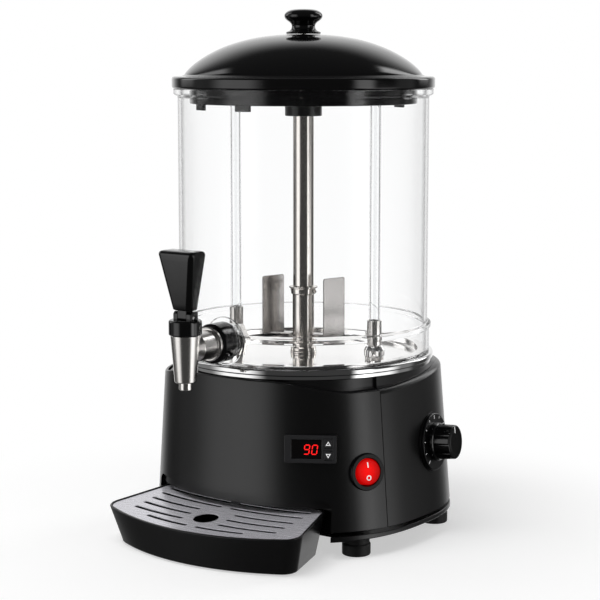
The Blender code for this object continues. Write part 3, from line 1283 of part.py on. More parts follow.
def build_tap_top(tank):
    """Cap with its yoke, the stem under it, and the lever on its pin."""
    foot = BODY_TOP + GAP
    top = foot + CAP_HEIGHT
    bore = STEM_RADIUS + RUNNING
    pivot = Matrix.Translation((0, -TAP_REACH, PIVOT_Z))
    sideways = rotation("Y", math.pi / 2) @ rotation("Z", math.pi / 2)
    cap = turned("tap_cap", [
        (CAP_RADIUS - CAP_ROUND, top), (CAP_RADIUS, top - CAP_ROUND), (CAP_RADIUS, foot),
        (BODY_BORE - GAP, foot), (BODY_BORE - GAP, foot - CAP_SPIGOT), (bore, foot - CAP_SPIGOT),
        (bore, top)],
        tank, "gloss_black", MIDDLE_STEPS, Matrix.Translation((0, -TAP_REACH, 0)))
    join(cap, plate("cap_yoke", [pivot_outline(YOKE_RADIUS, top - PIVOT_Z - CAP_ROUND)], YOKE_WIDTH, tank,
                    matrix=pivot @ sideways))
    slot = YOKE_SLOT / 2
    cut(cap,
        block("yoke_slot", (-slot, -TAP_REACH - CAP_RADIUS, PIVOT_Z - TONGUE_RADIUS - 3 * GAP),
              (slot, -TAP_REACH + CAP_RADIUS, PIVOT_Z + YOKE_RADIUS + OVERRUN), tank),
        drum("yoke_bore", PIN_RADIUS + RUNNING, -YOKE_WIDTH, YOKE_WIDTH, tank, steps=PIN_STEPS,
             matrix=pivot @ sideways))
    stem_axis = add_frame("stem_axis", tank, Matrix.Translation((0, -TAP_REACH, 0)))
    spout_bore = SPOUT_RADIUS - SPOUT_WALL
    seat_gap = GAP * math.sqrt(2)
    plug_tip = spout_bore - GAP
    cone_foot = SEAT_CONE_TOP - (BODY_BORE - plug_tip) + seat_gap
    cone_top = cone_foot + PLUG_RADIUS - plug_tip
    stem_top = PIVOT_Z - TONGUE_RADIUS - STEM_CLEARANCE - STEM_LIFT
    turned("tap_stem", [
        (0, stem_top), (STEM_RADIUS, stem_top), (STEM_RADIUS, cone_top + PLUG_HEIGHT),
        (PLUG_RADIUS, cone_top + PLUG_HEIGHT), (PLUG_RADIUS, cone_top), (plug_tip, cone_foot),
        (0, cone_foot)],
        stem_axis, "brushed_steel", PIN_STEPS)
    lever = add_frame("lever_pivot", tank, pivot)
    build_handle(lever, sideways)


def build_handle(lever, sideways):
    """The handle, wider at its top, with the tongue that turns between the yoke's ears."""
    sole = SOLE_Z - PIVOT_Z
    levels = (
        (HANDLE_FOOT_WIDTH / 2, HANDLE_FOOT_DEPTH / 2, sole),
        (HANDLE_TOP_WIDTH / 2, HANDLE_TOP_DEPTH / 2, sole + HANDLE_HEIGHT))
    rings = [[Vector((x * side_x, y * side_y, z)) for side_x, side_y in ((-1, -1), (1, -1), (1, 1), (-1, 1))]
             for x, y, z in levels]
    handle = lofted("tap_handle", rings, lever, "gloss_black")
    rounded(handle, HANDLE_ROUND)
    join(handle, plate("handle_tongue", [pivot_outline(TONGUE_RADIUS, sole + HANDLE_ROUND)], TONGUE_THICKNESS,
                       lever, matrix=sideways))
    cut(handle, drum("tongue_bore", PIN_RADIUS + RUNNING, -YOKE_WIDTH, YOKE_WIDTH, lever, steps=PIN_STEPS,
                     matrix=sideways))
    drum("handle_pin", PIN_RADIUS, -YOKE_WIDTH / 2, YOKE_WIDTH / 2, lever, "brushed_steel", PIN_STEPS,
         sideways)


def dome_height(radius, drop=0):
    """The height of the lid's dome at a radius, or of its underside."""
    curve = DOME_CURVE - drop
    return DOME_TOP - DOME_CURVE + math.sqrt(curve ** 2 - radius ** 2)


def build_lid(lid):
    hole = STUD_RADIUS + GAP
    profile = []
    for i in range(DOME_STEPS + 1):
        radius = hole + (DOME_RADIUS - hole) * i / DOME_STEPS
        profile.append((radius, dome_height(radius)))
    profile += [
        (LID_RADIUS - LID_ROUND, BAND_TOP), (LID_RADIUS, BAND_TOP - LID_ROUND),
        (LID_RADIUS, LID_FOOT + LID_ROUND), (LID_RADIUS - LID_ROUND, LID_FOOT), (LID_SEAT_RADIUS, LID_FOOT)]
    for i in range(DOME_INNER_STEPS + 1):
        radius = LID_SEAT_RADIUS + (LID_HUB_RADIUS - LID_SEAT_RADIUS) * i / DOME_INNER_STEPS
        profile.append((radius, dome_height(radius, LID_WALL)))
    profile.append((hole, profile[-1][1]))
    turned("lid_dome", profile, lid, "gloss_black")
    rim = LID_FOOT + SPIGOT_FLANGE_HEIGHT
    inner = SPIGOT_RADIUS - SPIGOT_WALL
    spigot = turned("lid_spigot", [
        (LID_SEAT_RADIUS - GAP, rim), (LID_SEAT_RADIUS - GAP, LID_FOOT), (SPIGOT_RADIUS, LID_FOOT),
        (SPIGOT_RADIUS, LID_FOOT - SPIGOT_DROP), (inner, LID_FOOT - SPIGOT_DROP), (inner, rim)],
        lid, "black_moulding")
    for i, turn in enumerate(LUG_TURNS):
        foot = LID_FOOT - SPIGOT_DROP
        reach = SPIGOT_RADIUS - SPIGOT_WALL * 0.75
        low = (-LUG_WIDTH / 2, -reach - SPIGOT_WALL / 2, foot - LUG_HEIGHT)
        high = (LUG_WIDTH / 2, -reach + SPIGOT_WALL / 2, foot + LUG_HEIGHT / 2)
        join(spigot, block("spigot_lug_" + str(i), low, high, lid, matrix=rotation("Z", turn)))
    build_lid_centre(lid, hole)


def build_lid_centre(lid, hole):
    """Hub round the agitator's top, the stud through it and the knob."""
    top = dome_height(LID_HUB_RADIUS, LID_WALL) - GAP
    socket = LID_HUB_FOOT + LID_HUB_SOCKET
    web = socket + LID_HUB_WEB
    bore = STIRRER_RADIUS + 2 * GAP
    room = LID_HUB_RADIUS - LID_HUB_WALL
    head = top - LID_HUB_HEAD
    turned("lid_hub", [
        (LID_HUB_RADIUS, top), (LID_HUB_RADIUS, LID_HUB_FOOT), (bore, LID_HUB_FOOT), (bore, socket),
        (hole, socket), (hole, web), (room, web), (room, head), (hole, head), (hole, top)],
        lid, "black_moulding", NARROW_STEPS)
    knob_foot = DOME_TOP + GAP
    stud_top = knob_foot + STUD_REACH
    turned("knob_stud", [
        (0, stud_top), (STUD_RADIUS, stud_top), (STUD_RADIUS, head - GAP), (STUD_HEAD_RADIUS, head - GAP),
        (STUD_HEAD_RADIUS, head - GAP - STUD_HEAD), (0, head - GAP - STUD_HEAD)],
        lid, "brushed_steel", PIN_STEPS)
    profile = [(KNOB_RADIUS * radius, knob_foot + KNOB_HEIGHT * height) for radius, height in KNOB_SHARES]
    profile += [(hole, knob_foot), (hole, stud_top + GAP), (0, stud_top + GAP)]
    turned("lid_knob", profile, lid, "gloss_black", MIDDLE_STEPS)


def sized_block(name, width, height, low, high, frame, look=None, matrix=None, x=0, y=0):
    """A block centred on a place in a surface frame, between two heights off the surface."""
    return block(name, (x - width / 2, y - height / 2, low), (x + width / 2, y + height / 2, high), frame,
                 look, matrix)


def build_display(front_shell):
    """Display controller: a flat pad on the panel, the bezel with its housing, window and two buttons."""
    place = surface_frame(DISPLAY_TURN, DISPLAY_Z, DISPLAY_YAW)
    join(front_shell, sized_block("display_pad", BEZEL_WIDTH, BEZEL_HEIGHT, -PAD_DEPTH, PAD_PROUD, machine,
                                  matrix=place))
    cut(front_shell, sized_block("display_cutout", HOUSING_WIDTH + 2 * GAP, HOUSING_HEIGHT + 2 * GAP,
                                 -PAD_DEPTH - OVERRUN, PAD_PROUD + OVERRUN, machine, matrix=place))
    back = PAD_PROUD + GAP
    face = back + BEZEL_PROUD
    bezel = sized_block("display_bezel", BEZEL_WIDTH, BEZEL_HEIGHT, back, face, machine, "grey_bezel", place)
    rounded(bezel, BEZEL_ROUND, 1)
    join(bezel, sized_block("display_housing", HOUSING_WIDTH, HOUSING_HEIGHT, -HOUSING_DEPTH,
                            back + BEZEL_ROUND, machine, matrix=place))
    recess = face - WINDOW_THICKNESS - GAP
    window_x = -WINDOW_OFFSET
    cut(bezel, sized_block("window_recess", WINDOW_WIDTH + 2 * GAP, WINDOW_HEIGHT + 2 * GAP, recess,
                           face + OVERRUN, machine, matrix=place, x=window_x))
    sized_block("display_window", WINDOW_WIDTH, WINDOW_HEIGHT, recess + GAP, face - GAP, machine,
                "dark_glass", place, x=window_x)
    seat = face + BUTTON_PROUD - BUTTON_THICKNESS
    for name, side in (("button_up", 1), ("button_down", -1)):
        centre = Matrix.Translation((BUTTON_X, side * BUTTON_Y, 0))
        cut(bezel, sized_block(name + "_pocket", BUTTON_WIDTH + 2 * GAP, BUTTON_HEIGHT + 2 * GAP,
                               seat - BUTTON_TRAVEL - GAP, face + OVERRUN, machine, matrix=place @ centre))
        button = add_frame(name + "_axis", machine, place @ centre)
        sized_block(name, BUTTON_WIDTH, BUTTON_HEIGHT, seat, face + BUTTON_PROUD, button, "grey_bezel")
    sized_block("control_board", HOUSING_WIDTH + 2 * BOARD_MARGIN, HOUSING_HEIGHT + 2 * BOARD_MARGIN,
                -HOUSING_DEPTH - GAP - BOARD_THICKNESS, -HOUSING_DEPTH - GAP, machine, "board_green", place)


def build_switch(front_shell):
    """Round switch: a pad on the panel, the bezel with its barrel, and the rocker in it."""
    place = surface_frame(SWITCH_TURN, SWITCH_Z)
    join(front_shell, drum("switch_pad", SWITCH_RADIUS, -PAD_DEPTH, PAD_PROUD, machine, matrix=place))
    cut(front_shell, drum("switch_hole", SWITCH_BARREL + GAP, -PAD_DEPTH - OVERRUN, PAD_PROUD + OVERRUN,
                          machine, matrix=place))
    back = PAD_PROUD + GAP
    face = back + SWITCH_PROUD
    wall = SWITCH_BARREL - SWITCH_BORE
    turned("switch_bezel", [
        (0, wall - SWITCH_DEPTH), (SWITCH_BORE, wall - SWITCH_DEPTH), (SWITCH_BORE, face),
        (SWITCH_RADIUS - SWITCH_PROUD / 2, face), (SWITCH_RADIUS, back + SWITCH_PROUD / 2),
        (SWITCH_RADIUS, back), (SWITCH_BARREL, back), (SWITCH_BARREL, -SWITCH_DEPTH), (0, -SWITCH_DEPTH)],
        machine, "gloss_black", MIDDLE_STEPS, place)
    build_rocker(place, face)


def build_rocker(place, face):
    """The rocker: two faces that fall away from a crest, tilted so that its upper half is pressed in."""
    axis = add_frame("rocker_axis", machine, place @ Matrix.Translation((0, 0, face - ROCKER_HALF_THICKNESS)))
    tilt = rotation("X", -ROCKER_TILT)
    radius = SWITCH_BORE - SWITCH_CLEARANCE
    rocker = drum("switch_rocker", radius, -ROCKER_HALF_THICKNESS, ROCKER_HALF_THICKNESS + ROCKER_CREST, axis,
                  "red_lens", MIDDLE_STEPS, tilt @ rotation("Z", math.pi / MIDDLE_STEPS))
    slope = math.atan2(ROCKER_CREST, radius)
    for name, side in (("rocker_face_up", 1), ("rocker_face_down", -1)):
        reach = 2 * radius
        edge = Matrix.Translation((0, side * ROCKER_CREST_FLAT, ROCKER_HALF_THICKNESS + ROCKER_CREST))
        wedge = edge @ rotation("X", -side * slope)
        low = (-reach, 0 if side > 0 else -reach, 0)
        high = (reach, reach if side > 0 else 0, reach)
        cut(rocker, block(name, low, high, axis, matrix=tilt @ wedge))
    reach = SWITCH_BORE - 2 * GAP
    join(rocker, drum("rocker_pins", ROCKER_PIN_RADIUS, -reach, reach, axis, steps=PIN_STEPS,
                      matrix=rotation("Y", math.pi / 2)))


def build_thermostat():
    """Dial plate on the side, the knob on its shaft and the thermostat behind the wall."""
    place = surface_frame(DIAL_TURN, DIAL_Z)
    foot = DIAL_PROUD + GAP
    face = foot + DIAL_THICKNESS
    hole = DIAL_SHAFT_RADIUS + RUNNING
    turned("dial_plate", [
        (DIAL_RADIUS - DIAL_PROUD, face), (DIAL_RADIUS, face - DIAL_PROUD), (DIAL_RADIUS, foot),
        (THERMOSTAT_SPIGOT + GAP, foot), (THERMOSTAT_SPIGOT + GAP, face)], machine, "black_moulding",
        MIDDLE_STEPS, place)
    back = -DIAL_BOSS_DEPTH - GAP
    spigot_top = face
    turned("thermostat_body", [
        (0, back - THERMOSTAT_LENGTH / 2), (hole, back - THERMOSTAT_LENGTH / 2), (hole, spigot_top),
        (THERMOSTAT_SPIGOT, spigot_top), (THERMOSTAT_SPIGOT, back), (THERMOSTAT_RADIUS, back),
        (THERMOSTAT_RADIUS, back - THERMOSTAT_LENGTH), (0, back - THERMOSTAT_LENGTH)],
        machine, "cast_grey", NARROW_STEPS, place)
    axis = add_frame("thermostat_axis", machine, place)
    knob_foot = face + GAP
    knob_top = knob_foot + DIAL_KNOB_LENGTH
    waist = DIAL_KNOB_RADIUS * DIAL_KNOB_WAIST_SHARE
    shaft_top = knob_foot + DIAL_SHAFT_OUT
    knob = turned("thermostat_knob", [
        (0, knob_top - DIAL_KNOB_DISH), (waist - 2 * DIAL_KNOB_DISH, knob_top - DIAL_KNOB_DISH),
        (waist - DIAL_KNOB_DISH, knob_top), (waist, knob_top - DIAL_KNOB_DISH),
        (waist, knob_foot + 2 * DIAL_KNOB_SKIRT), (DIAL_KNOB_RADIUS, knob_foot + DIAL_KNOB_SKIRT),
        (DIAL_KNOB_RADIUS, knob_foot), (hole, knob_foot), (hole, shaft_top + GAP), (0, shaft_top + GAP)],
        axis, "gloss_black", MIDDLE_STEPS)
    for name, side in (("grip_scoop_upper", 1), ("grip_scoop_lower", -1)):
        centre = Matrix.Translation((side * (GRIP_WIDTH / 2 + 2 * GRIP_DEPTH), 0, 0))
        cut(knob, drum(name, 2 * GRIP_DEPTH, knob_foot + 2 * DIAL_KNOB_SKIRT, knob_top + OVERRUN, axis,
                       matrix=centre))
    drum("thermostat_shaft", DIAL_SHAFT_RADIUS, back - THERMOSTAT_LENGTH / 2 + GAP, shaft_top, axis,
         "brushed_steel", PIN_STEPS)


def build_gland():
    """The cord's bush in the back wall."""
    place = surface_frame(GLAND_TURN, GLAND_Z)
    foot = GAP
    face = foot + WALL / 2
    turned("cord_gland", [
        (GLAND_NOSE, foot + GLAND_LENGTH), (GLAND_RADIUS, face), (GLAND_FLANGE, face), (GLAND_FLANGE, foot),
        (GLAND_RADIUS, foot), (GLAND_RADIUS, -GLAND_TAIL), (GLAND_BORE, -GLAND_TAIL),
        (GLAND_BORE, foot + GLAND_LENGTH)], machine, "black_rubber", NARROW_STEPS, place)


def stand_on_origin():
    """Move the machine so that its box stands on the origin, centred."""
    bpy.context.view_layer.update()
    graph = bpy.context.evaluated_depsgraph_get()
    low = Vector((math.inf,) * 3)
    high = Vector((-math.inf,) * 3)
    for obj in PARTS.objects:
        if obj.type == "EMPTY":
            continue
        evaluated = obj.evaluated_get(graph)
        mesh = evaluated.to_mesh()
        for vert in mesh.vertices:
            point = evaluated.matrix_world @ vert.co
            low = Vector(map(min, low, point))
            high = Vector(map(max, high, point))
        evaluated.to_mesh_clear()
    machine.location = (-(low.x + high.x) / 2, -(low.y + high.y) / 2, -low.z)
    bpy.context.view_layer.update()
    print("machine frame at", [round(value, 6) for value in machine.location])
    print("size", [round(value, 6) for value in high - low])


def build():
    tank = add_frame("tank_frame", machine)
    agitator = add_frame("agitator_axis", tank)
    lid = add_frame("lid_frame", tank)
    tray = add_frame("tray_frame", machine)
    arch = arch_cutter()
    build_feet()
    build_base_pan(arch)
    front_shell = build_front_shell(arch)
    build_rear_shell()
    build_tray_holder()
    build_tray(tray)
    build_grid(tray)
    build_seat()
    build_drive()
    build_tank(tank)
    build_standpipe(tank)
    build_agitator(agitator)
    build_tubes(tank)
    collar_face = build_tap_fixings(tank)
    build_tap_body(tank, collar_face)
    build_tap_top(tank)
    build_lid(lid)
    build_display(front_shell)
    build_switch(front_shell)
    build_thermostat()
    build_gland()
    stand_on_origin()


build()
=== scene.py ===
"""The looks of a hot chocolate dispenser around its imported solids.

Metres, +Z up, front towards -Y. A fine piece stands for the solid it replaces, and takes its place and
main sizes from that solid's box.
"""
import math

import bmesh
import bpy
from mathutils import Matrix, Vector


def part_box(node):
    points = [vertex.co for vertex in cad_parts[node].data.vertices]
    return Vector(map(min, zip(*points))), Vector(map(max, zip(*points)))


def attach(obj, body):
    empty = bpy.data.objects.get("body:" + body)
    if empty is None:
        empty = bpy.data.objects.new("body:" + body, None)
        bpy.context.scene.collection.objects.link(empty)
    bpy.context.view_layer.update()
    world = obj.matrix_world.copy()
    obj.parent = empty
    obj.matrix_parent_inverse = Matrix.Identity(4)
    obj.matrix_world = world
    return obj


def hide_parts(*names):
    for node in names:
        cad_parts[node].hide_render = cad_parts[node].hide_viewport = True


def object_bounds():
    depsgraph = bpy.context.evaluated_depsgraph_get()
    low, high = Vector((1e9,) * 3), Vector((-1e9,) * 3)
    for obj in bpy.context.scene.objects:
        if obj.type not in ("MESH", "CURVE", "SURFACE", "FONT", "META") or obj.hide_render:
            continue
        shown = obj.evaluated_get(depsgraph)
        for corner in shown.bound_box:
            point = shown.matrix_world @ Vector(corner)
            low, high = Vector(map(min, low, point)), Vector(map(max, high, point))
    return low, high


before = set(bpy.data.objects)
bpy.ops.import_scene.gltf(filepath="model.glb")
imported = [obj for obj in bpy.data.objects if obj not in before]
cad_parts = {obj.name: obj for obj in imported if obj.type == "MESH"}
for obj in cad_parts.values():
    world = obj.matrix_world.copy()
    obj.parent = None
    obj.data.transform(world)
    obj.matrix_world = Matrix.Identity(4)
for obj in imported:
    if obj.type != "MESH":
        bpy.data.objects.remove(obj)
CAD_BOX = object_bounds()

# Facets
WIDE = 160
MIDDLE = 72
NARROW = 48
PLAN = 360
ROUND_STEPS = 5
MERGE = 0.000002
SHARP = math.radians(32)


def low(node):
    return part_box(node)[0]


def high(node):
    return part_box(node)[1]


def middle(node):
    """The centre of a solid's box."""
    return (low(node) + high(node)) / 2


def radius_of(node):
    return (high(node).x - low(node).x) / 2


# Places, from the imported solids
AXIS = Vector((middle("tank_wall").x, middle("tank_wall").y, 0))
STEM = Vector((middle("tap_stem").x, middle("tap_stem").y, 0))

# Fits
GAP = 0.0003
OVERRUN = 0.004

# Base plan
BASE_FOOT = 0.016
DECK_TOP = low("seat_ring").z + 0.005 - GAP
BASE_HEIGHT = DECK_TOP - BASE_FOOT
SIDE_FIT = (AXIS.x - CAD_BOX[0].x) / 0.1415
FOOT_HALF_WIDTH = 0.1415 * SIDE_FIT
DECK_HALF_WIDTH = 0.129 * SIDE_FIT
FOOT_FRONT = 0.1315
FOOT_REAR = 0.138
DECK_FRONT = 0.1285
DECK_REAR = 0.129
PLAN_POWER = 2.4
SEAM_TURN = math.radians(70.5)
SEAM_STEP = math.radians(0.12)
SEAM_WIDTH = 0.0008
WALL = 0.003
PLINTH_TOP = 0.0255
SHELL_FOOT = 0.0261
PLINTH_ARCH = 0.0026
SHOULDER = 0.005
EDGE_ROUND = 0.0014
EDGE_SETBACK = 0.0003
EDGE_DROP = 0.0102
EDGE_DROP_SPAN = (math.radians(16), math.radians(56))
EDGE_RISE_SPAN = (math.radians(70), math.radians(118))
EDGE_RISE_SHARE = 0.8
DECK_SKIRT = 0.012
DECK_HOLE = 0.116
DECK_LAND = 0.001
SEAT_RADIUS = radius_of("seat_ring")
SEAT_FOOT = DECK_TOP + GAP
SEAT_TOP = high("seat_ring").z

# Arch and tray
ARCH_HALF = 0.1015
ARCH_TOP = high("tray_holder").z
ARCH_CORNER = 0.010


# Shading
def node_of(tree, kind, **values):
    """A shader node with its attributes or input values set."""
    node = tree.nodes.new(kind)
    for name, value in values.items():
        if name in node.inputs:
            node.inputs[name].default_value = value
        else:
            setattr(node, name, value)
    return node


def principled(name, colour, roughness, metallic=0.0):
    material = bpy.data.materials.new(name)
    material.use_nodes = True
    tree = material.node_tree
    shader = tree.nodes["Principled BSDF"]
    shader.inputs["Base Color"].default_value = (*colour, 1)
    shader.inputs["Roughness"].default_value = roughness
    shader.inputs["Metallic"].default_value = metallic
    return material, tree, shader


def noise(tree, scale, detail=3.0, stretch=(1, 1, 1), source="Object"):
    """Noise over the object's own coordinates, stretched along an axis."""
    place = node_of(tree, "ShaderNodeTexCoord")
    mapping = node_of(tree, "ShaderNodeMapping")
    mapping.inputs["Scale"].default_value = stretch
    texture = node_of(tree, "ShaderNodeTexNoise", Scale=scale, Detail=detail)
    tree.links.new(place.outputs[source], mapping.inputs["Vector"])
    tree.links.new(mapping.outputs["Vector"], texture.inputs["Vector"])
    return texture.outputs["Fac"]


def spread(tree, value, low_value, high_value, target, edges=(0.3, 0.7)):
    """Run a 0 to 1 value between two levels into an input."""
    ranged = node_of(tree, "ShaderNodeMapRange")
    ranged.inputs["From Min"].default_value = edges[0]
    ranged.inputs["From Max"].default_value = edges[1]
    ranged.inputs["To Min"].default_value = low_value
    ranged.inputs["To Max"].default_value = high_value
    tree.links.new(value, ranged.inputs["Value"])
    tree.links.new(ranged.outputs["Result"], target)


def bumped(tree, shader, height, strength, distance):
    bump = node_of(tree, "ShaderNodeBump", Strength=strength, Distance=distance)
    tree.links.new(height, bump.inputs["Height"])
    tree.links.new(bump.outputs["Normal"], shader.inputs["Normal"])


def moulding(name, colour, roughness, grain=2600, depth=0.00003, specular=0.5):
    """Moulded plastic with a fine spark-eroded grain."""
    material, tree, shader = principled(name, colour, roughness)
    shader.inputs["Specular IOR Level"].default_value = specular
    spread(tree, noise(tree, grain / 6), roughness * 0.95, roughness * 1.05, shader.inputs["Roughness"])
    bumped(tree, shader, noise(tree, grain, 2.0), 0.03, depth)
    return material


def gloss(name, colour, roughness, coat=0.0):
    """Polished plastic: nearly smooth, with a faint waviness and fine wiping marks."""
    material, tree, shader = principled(name, colour, roughness)
    shader.inputs["Coat Weight"].default_value = coat
    shader.inputs["Coat Roughness"].default_value = roughness / 2
    spread(tree, noise(tree, 60, 6.0), roughness * 0.8, roughness * 1.3, shader.inputs["Roughness"])
    bumped(tree, shader, noise(tree, 90, 2.0), 0.05, 0.0002)
    return material


def steel(name, colour, roughness, stretch, scale=900, strength=0.06, variation=0.35, metallic=1.0):
    """Steel brushed along one direction: noise drawn out across the strokes."""
    material, tree, shader = principled(name, colour, roughness, metallic)
    strokes = noise(tree, scale, 4.0, stretch)
    spread(tree, strokes, roughness * (1 - variation), roughness * (1 + variation), shader.inputs["Roughness"])
    bumped(tree, shader, strokes, strength, 0.0001)
    return material


# Grey for the edges of clear plastic: painted shade where it is seen edge-on.
PAINTED_EDGE_SHADE = (0.12, 0.12, 0.125)


def clear(name, colour, roughness, index):
    """Clear plastic with a faint ripple from the mould, its colour turning grey where it is seen edge-on: painted
    shade along its edges.
    """
    material, tree, shader = principled(name, colour, roughness)
    shader.inputs["Transmission Weight"].default_value = 1.0
    shader.inputs["IOR"].default_value = index
    layer = node_of(tree, "ShaderNodeLayerWeight", Blend=0.5)
    edge_shade = node_of(tree, "ShaderNodeMix", data_type="RGBA")
    edge_shade.inputs["A"].default_value = (*colour, 1)
    edge_shade.inputs["B"].default_value = (*PAINTED_EDGE_SHADE, 1)
    spread(tree, layer.outputs["Facing"], 0, 1, edge_shade.inputs["Factor"], (0.74, 0.88))
    tree.links.new(edge_shade.outputs["Result"], shader.inputs["Base Color"])
    bumped(tree, shader, noise(tree, 25, 1.0), 0.003, 0.001)
    return material


def lit_red(name, colour, roughness):
    """Red translucent plastic lit from inside, brighter towards its middle."""
    material, tree, shader = principled(name, colour, roughness)
    shader.inputs["Specular IOR Level"].default_value = 0.08
    shader.inputs["Emission Color"].default_value = (1, 0.002, 0.001, 1)
    place = node_of(tree, "ShaderNodeTexCoord")
    offset = node_of(tree, "ShaderNodeVectorMath", operation="DISTANCE")
    offset.inputs[1].default_value = (0.5, 0.5, 0.5)
    tree.links.new(place.outputs["Generated"], offset.inputs[0])
    spread(tree, offset.outputs["Value"], 0.85, 0.16, shader.inputs["Emission Strength"], (0.22, 0.62))
    spread(tree, noise(tree, 60, 6.0), roughness * 0.8, roughness * 1.3, shader.inputs["Roughness"])
    return material


# Emission: a real glow on the lit red digits, a painted glow on the white print.
def glowing(name, colour, strength):
    material, tree, shader = principled(name, colour, 0.4)
    shader.inputs["Emission Color"].default_value = (*colour, 1)
    shader.inputs["Emission Strength"].default_value = strength
    spread(tree, noise(tree, 3000, 1.0), 0.35, 0.45, shader.inputs["Roughness"])
    return material


ALONG_Z = (1.0, 1.0, 0.02)
ROUND_Z = (0.03, 0.03, 1.0)
ALONG_X = (0.015, 1.0, 1.0)
LOOKS = {
    "black_moulding": moulding("satin_black_moulding", (0.0045, 0.0045, 0.0048), 0.30),
    "tray_black": moulding("tray_black_moulding", (0.009, 0.009, 0.0095), 0.33),
    "gloss_black": gloss("gloss_black_plastic", (0.0025, 0.0025, 0.0027), 0.10),
    "nut_black": moulding("satin_black_nut", (0.004, 0.004, 0.0042), 0.14),
    "rim_black": moulding("rim_black", (0.004, 0.004, 0.0042), 0.3, specular=0.16),
    "rubber": moulding("black_rubber", (0.01, 0.01, 0.01), 0.6, 1500, 0.00006),
    "grey_bezel": moulding("dark_grey_bezel", (0.030, 0.030, 0.032), 0.40),
    "window": gloss("dark_window", (0.002, 0.0012, 0.0012), 0.06),
    "red_lens": lit_red("red_rocker", (0.40, 0.001, 0.002), 0.30),
    "clear": clear("clear_tank", (0.995, 0.997, 0.998), 0.01, 1.15),
    "clear_tube": clear("clear_tube", (0.985, 0.99, 0.992), 0.01, 1.40),
    "steel": steel("brushed_steel", (0.68, 0.66, 0.64), 0.23, ROUND_Z, 3000, 0.0015, 0.1),
    "tube_steel": steel("tube_steel", (0.66, 0.63, 0.60), 0.16, ROUND_Z, 3000, 0.001, 0.1),
    "sheet_steel": steel("sheet_steel", (0.44, 0.425, 0.415), 0.22, ALONG_Z, 500, 0.004, 0.2),
    "grid_steel": steel("grid_steel", (0.74, 0.73, 0.78), 0.27, ALONG_X, 2500, 0.003, 0.15, 0.35),
    "polished": steel("polished_steel", (0.80, 0.795, 0.79), 0.06, ROUND_Z, 300, 0.003, 0.2),
    # Chrome for the seat ring, darker than the polished steel: painted shade for the dark room that it reflects.
    "ring_chrome_painted_shade": steel("ring_chrome_painted_shade", (0.62, 0.62, 0.62), 0.05, ROUND_Z, 300, 0.003, 0.2),
    "floor_steel": steel("floor_steel", (0.84, 0.83, 0.82), 0.10, (1, 1, 1), 40, 0.003, 0.3),
    "bronze": steel("bush_bronze", (0.5, 0.3, 0.12), 0.3, ROUND_Z),
    "cast": moulding("cast_grey", (0.3, 0.3, 0.31), 0.5, 900, 0.00008),
    "board": moulding("board_green", (0.02, 0.12, 0.05), 0.5),
    # The white print glows: painted light, since print is no lamp.
    "white_mark_painted_glow": glowing("white_print_painted_glow", (0.9, 0.9, 0.9), 0.5),
    "red_digit": glowing("red_segments", (0.9, 0.01, 0.01), 1.2),
}


# Meshes
def new_object(name, fill, matrix=None):
    """An object whose bmesh is filled by a function."""
    mesh = bpy.data.meshes.new(name)
    bm = bmesh.new()
    fill(bm)
    bmesh.ops.remove_doubles(bm, verts=bm.verts, dist=MERGE)
    bmesh.ops.recalc_face_normals(bm, faces=bm.faces)
    bm.to_mesh(mesh)
    bm.free()
    obj = bpy.data.objects.new(name, mesh)
    bpy.context.scene.collection.objects.link(obj)
    if matrix:
        mesh.transform(matrix)
    return obj


def dress(obj, look, body, *nodes, sharp=SHARP):
    """Smooth shading, material, body and the solids that the piece stands for."""
    obj.data.materials.clear()
    obj.data.materials.append(LOOKS[look])
    obj.data.polygons.foreach_set("material_index", [0] * len(obj.data.polygons))
    obj.data.shade_smooth()
    obj.data.set_sharp_from_angle(angle=sharp)
    modifier = obj.modifiers.new("weighted_normals", "WEIGHTED_NORMAL")
    modifier.keep_sharp = True
    modifier.weight = 60
    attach(obj, body)
    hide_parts(*nodes)
    if look.startswith("clear"):
        obj.visible_shadow = False
    return obj


def dress_node(name, look):
    """A solid that stays as it is, smoothed and given its material."""
    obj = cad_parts[name]
    obj.data.materials.clear()
    obj.data.materials.append(LOOKS[look])
    obj.data.polygons.foreach_set("material_index", [0] * len(obj.data.polygons))
    obj.data.shade_smooth()
    weld = obj.modifiers.new("weld", "WELD")
    weld.merge_threshold = MERGE
    split = obj.modifiers.new("split", "EDGE_SPLIT")
    split.split_angle = math.radians(40)


def corner_arc(before, at, after, radius, steps):
    """The rounded corner between two straight runs, as points."""
    first = (before - at).normalized()
    second = (after - at).normalized()
    half = first.angle(second) / 2
    reach = min(radius / math.tan(half), 0.49 * min((before - at).length, (after - at).length))
    true_radius = reach * math.tan(half)
    if true_radius < MERGE:
        return [at]
    centre = at + (first + second).normalized() * (true_radius / math.sin(half))
    start = at + first * reach - centre
    end = at + second * reach - centre
    turn = start.angle_signed(end)
    return [centre + Matrix.Rotation(-turn * i / steps, 2) @ start for i in range(steps + 1)]


def rounded_run(points, closed=False, steps=ROUND_STEPS):
    """Points of (x, y) or (x, y, corner radius), with their corners rounded."""
    places = [Vector(point[:2]) for point in points]
    radii = [point[2] if len(point) > 2 else 0 for point in points]
    run = []
    count = len(points)
    for i, place in enumerate(places):
        inner = closed or 0 < i < count - 1
        if inner and radii[i]:
            run += corner_arc(places[i - 1], place, places[(i + 1) % count], radii[i], steps)
        else:
            run.append(place)
    return run


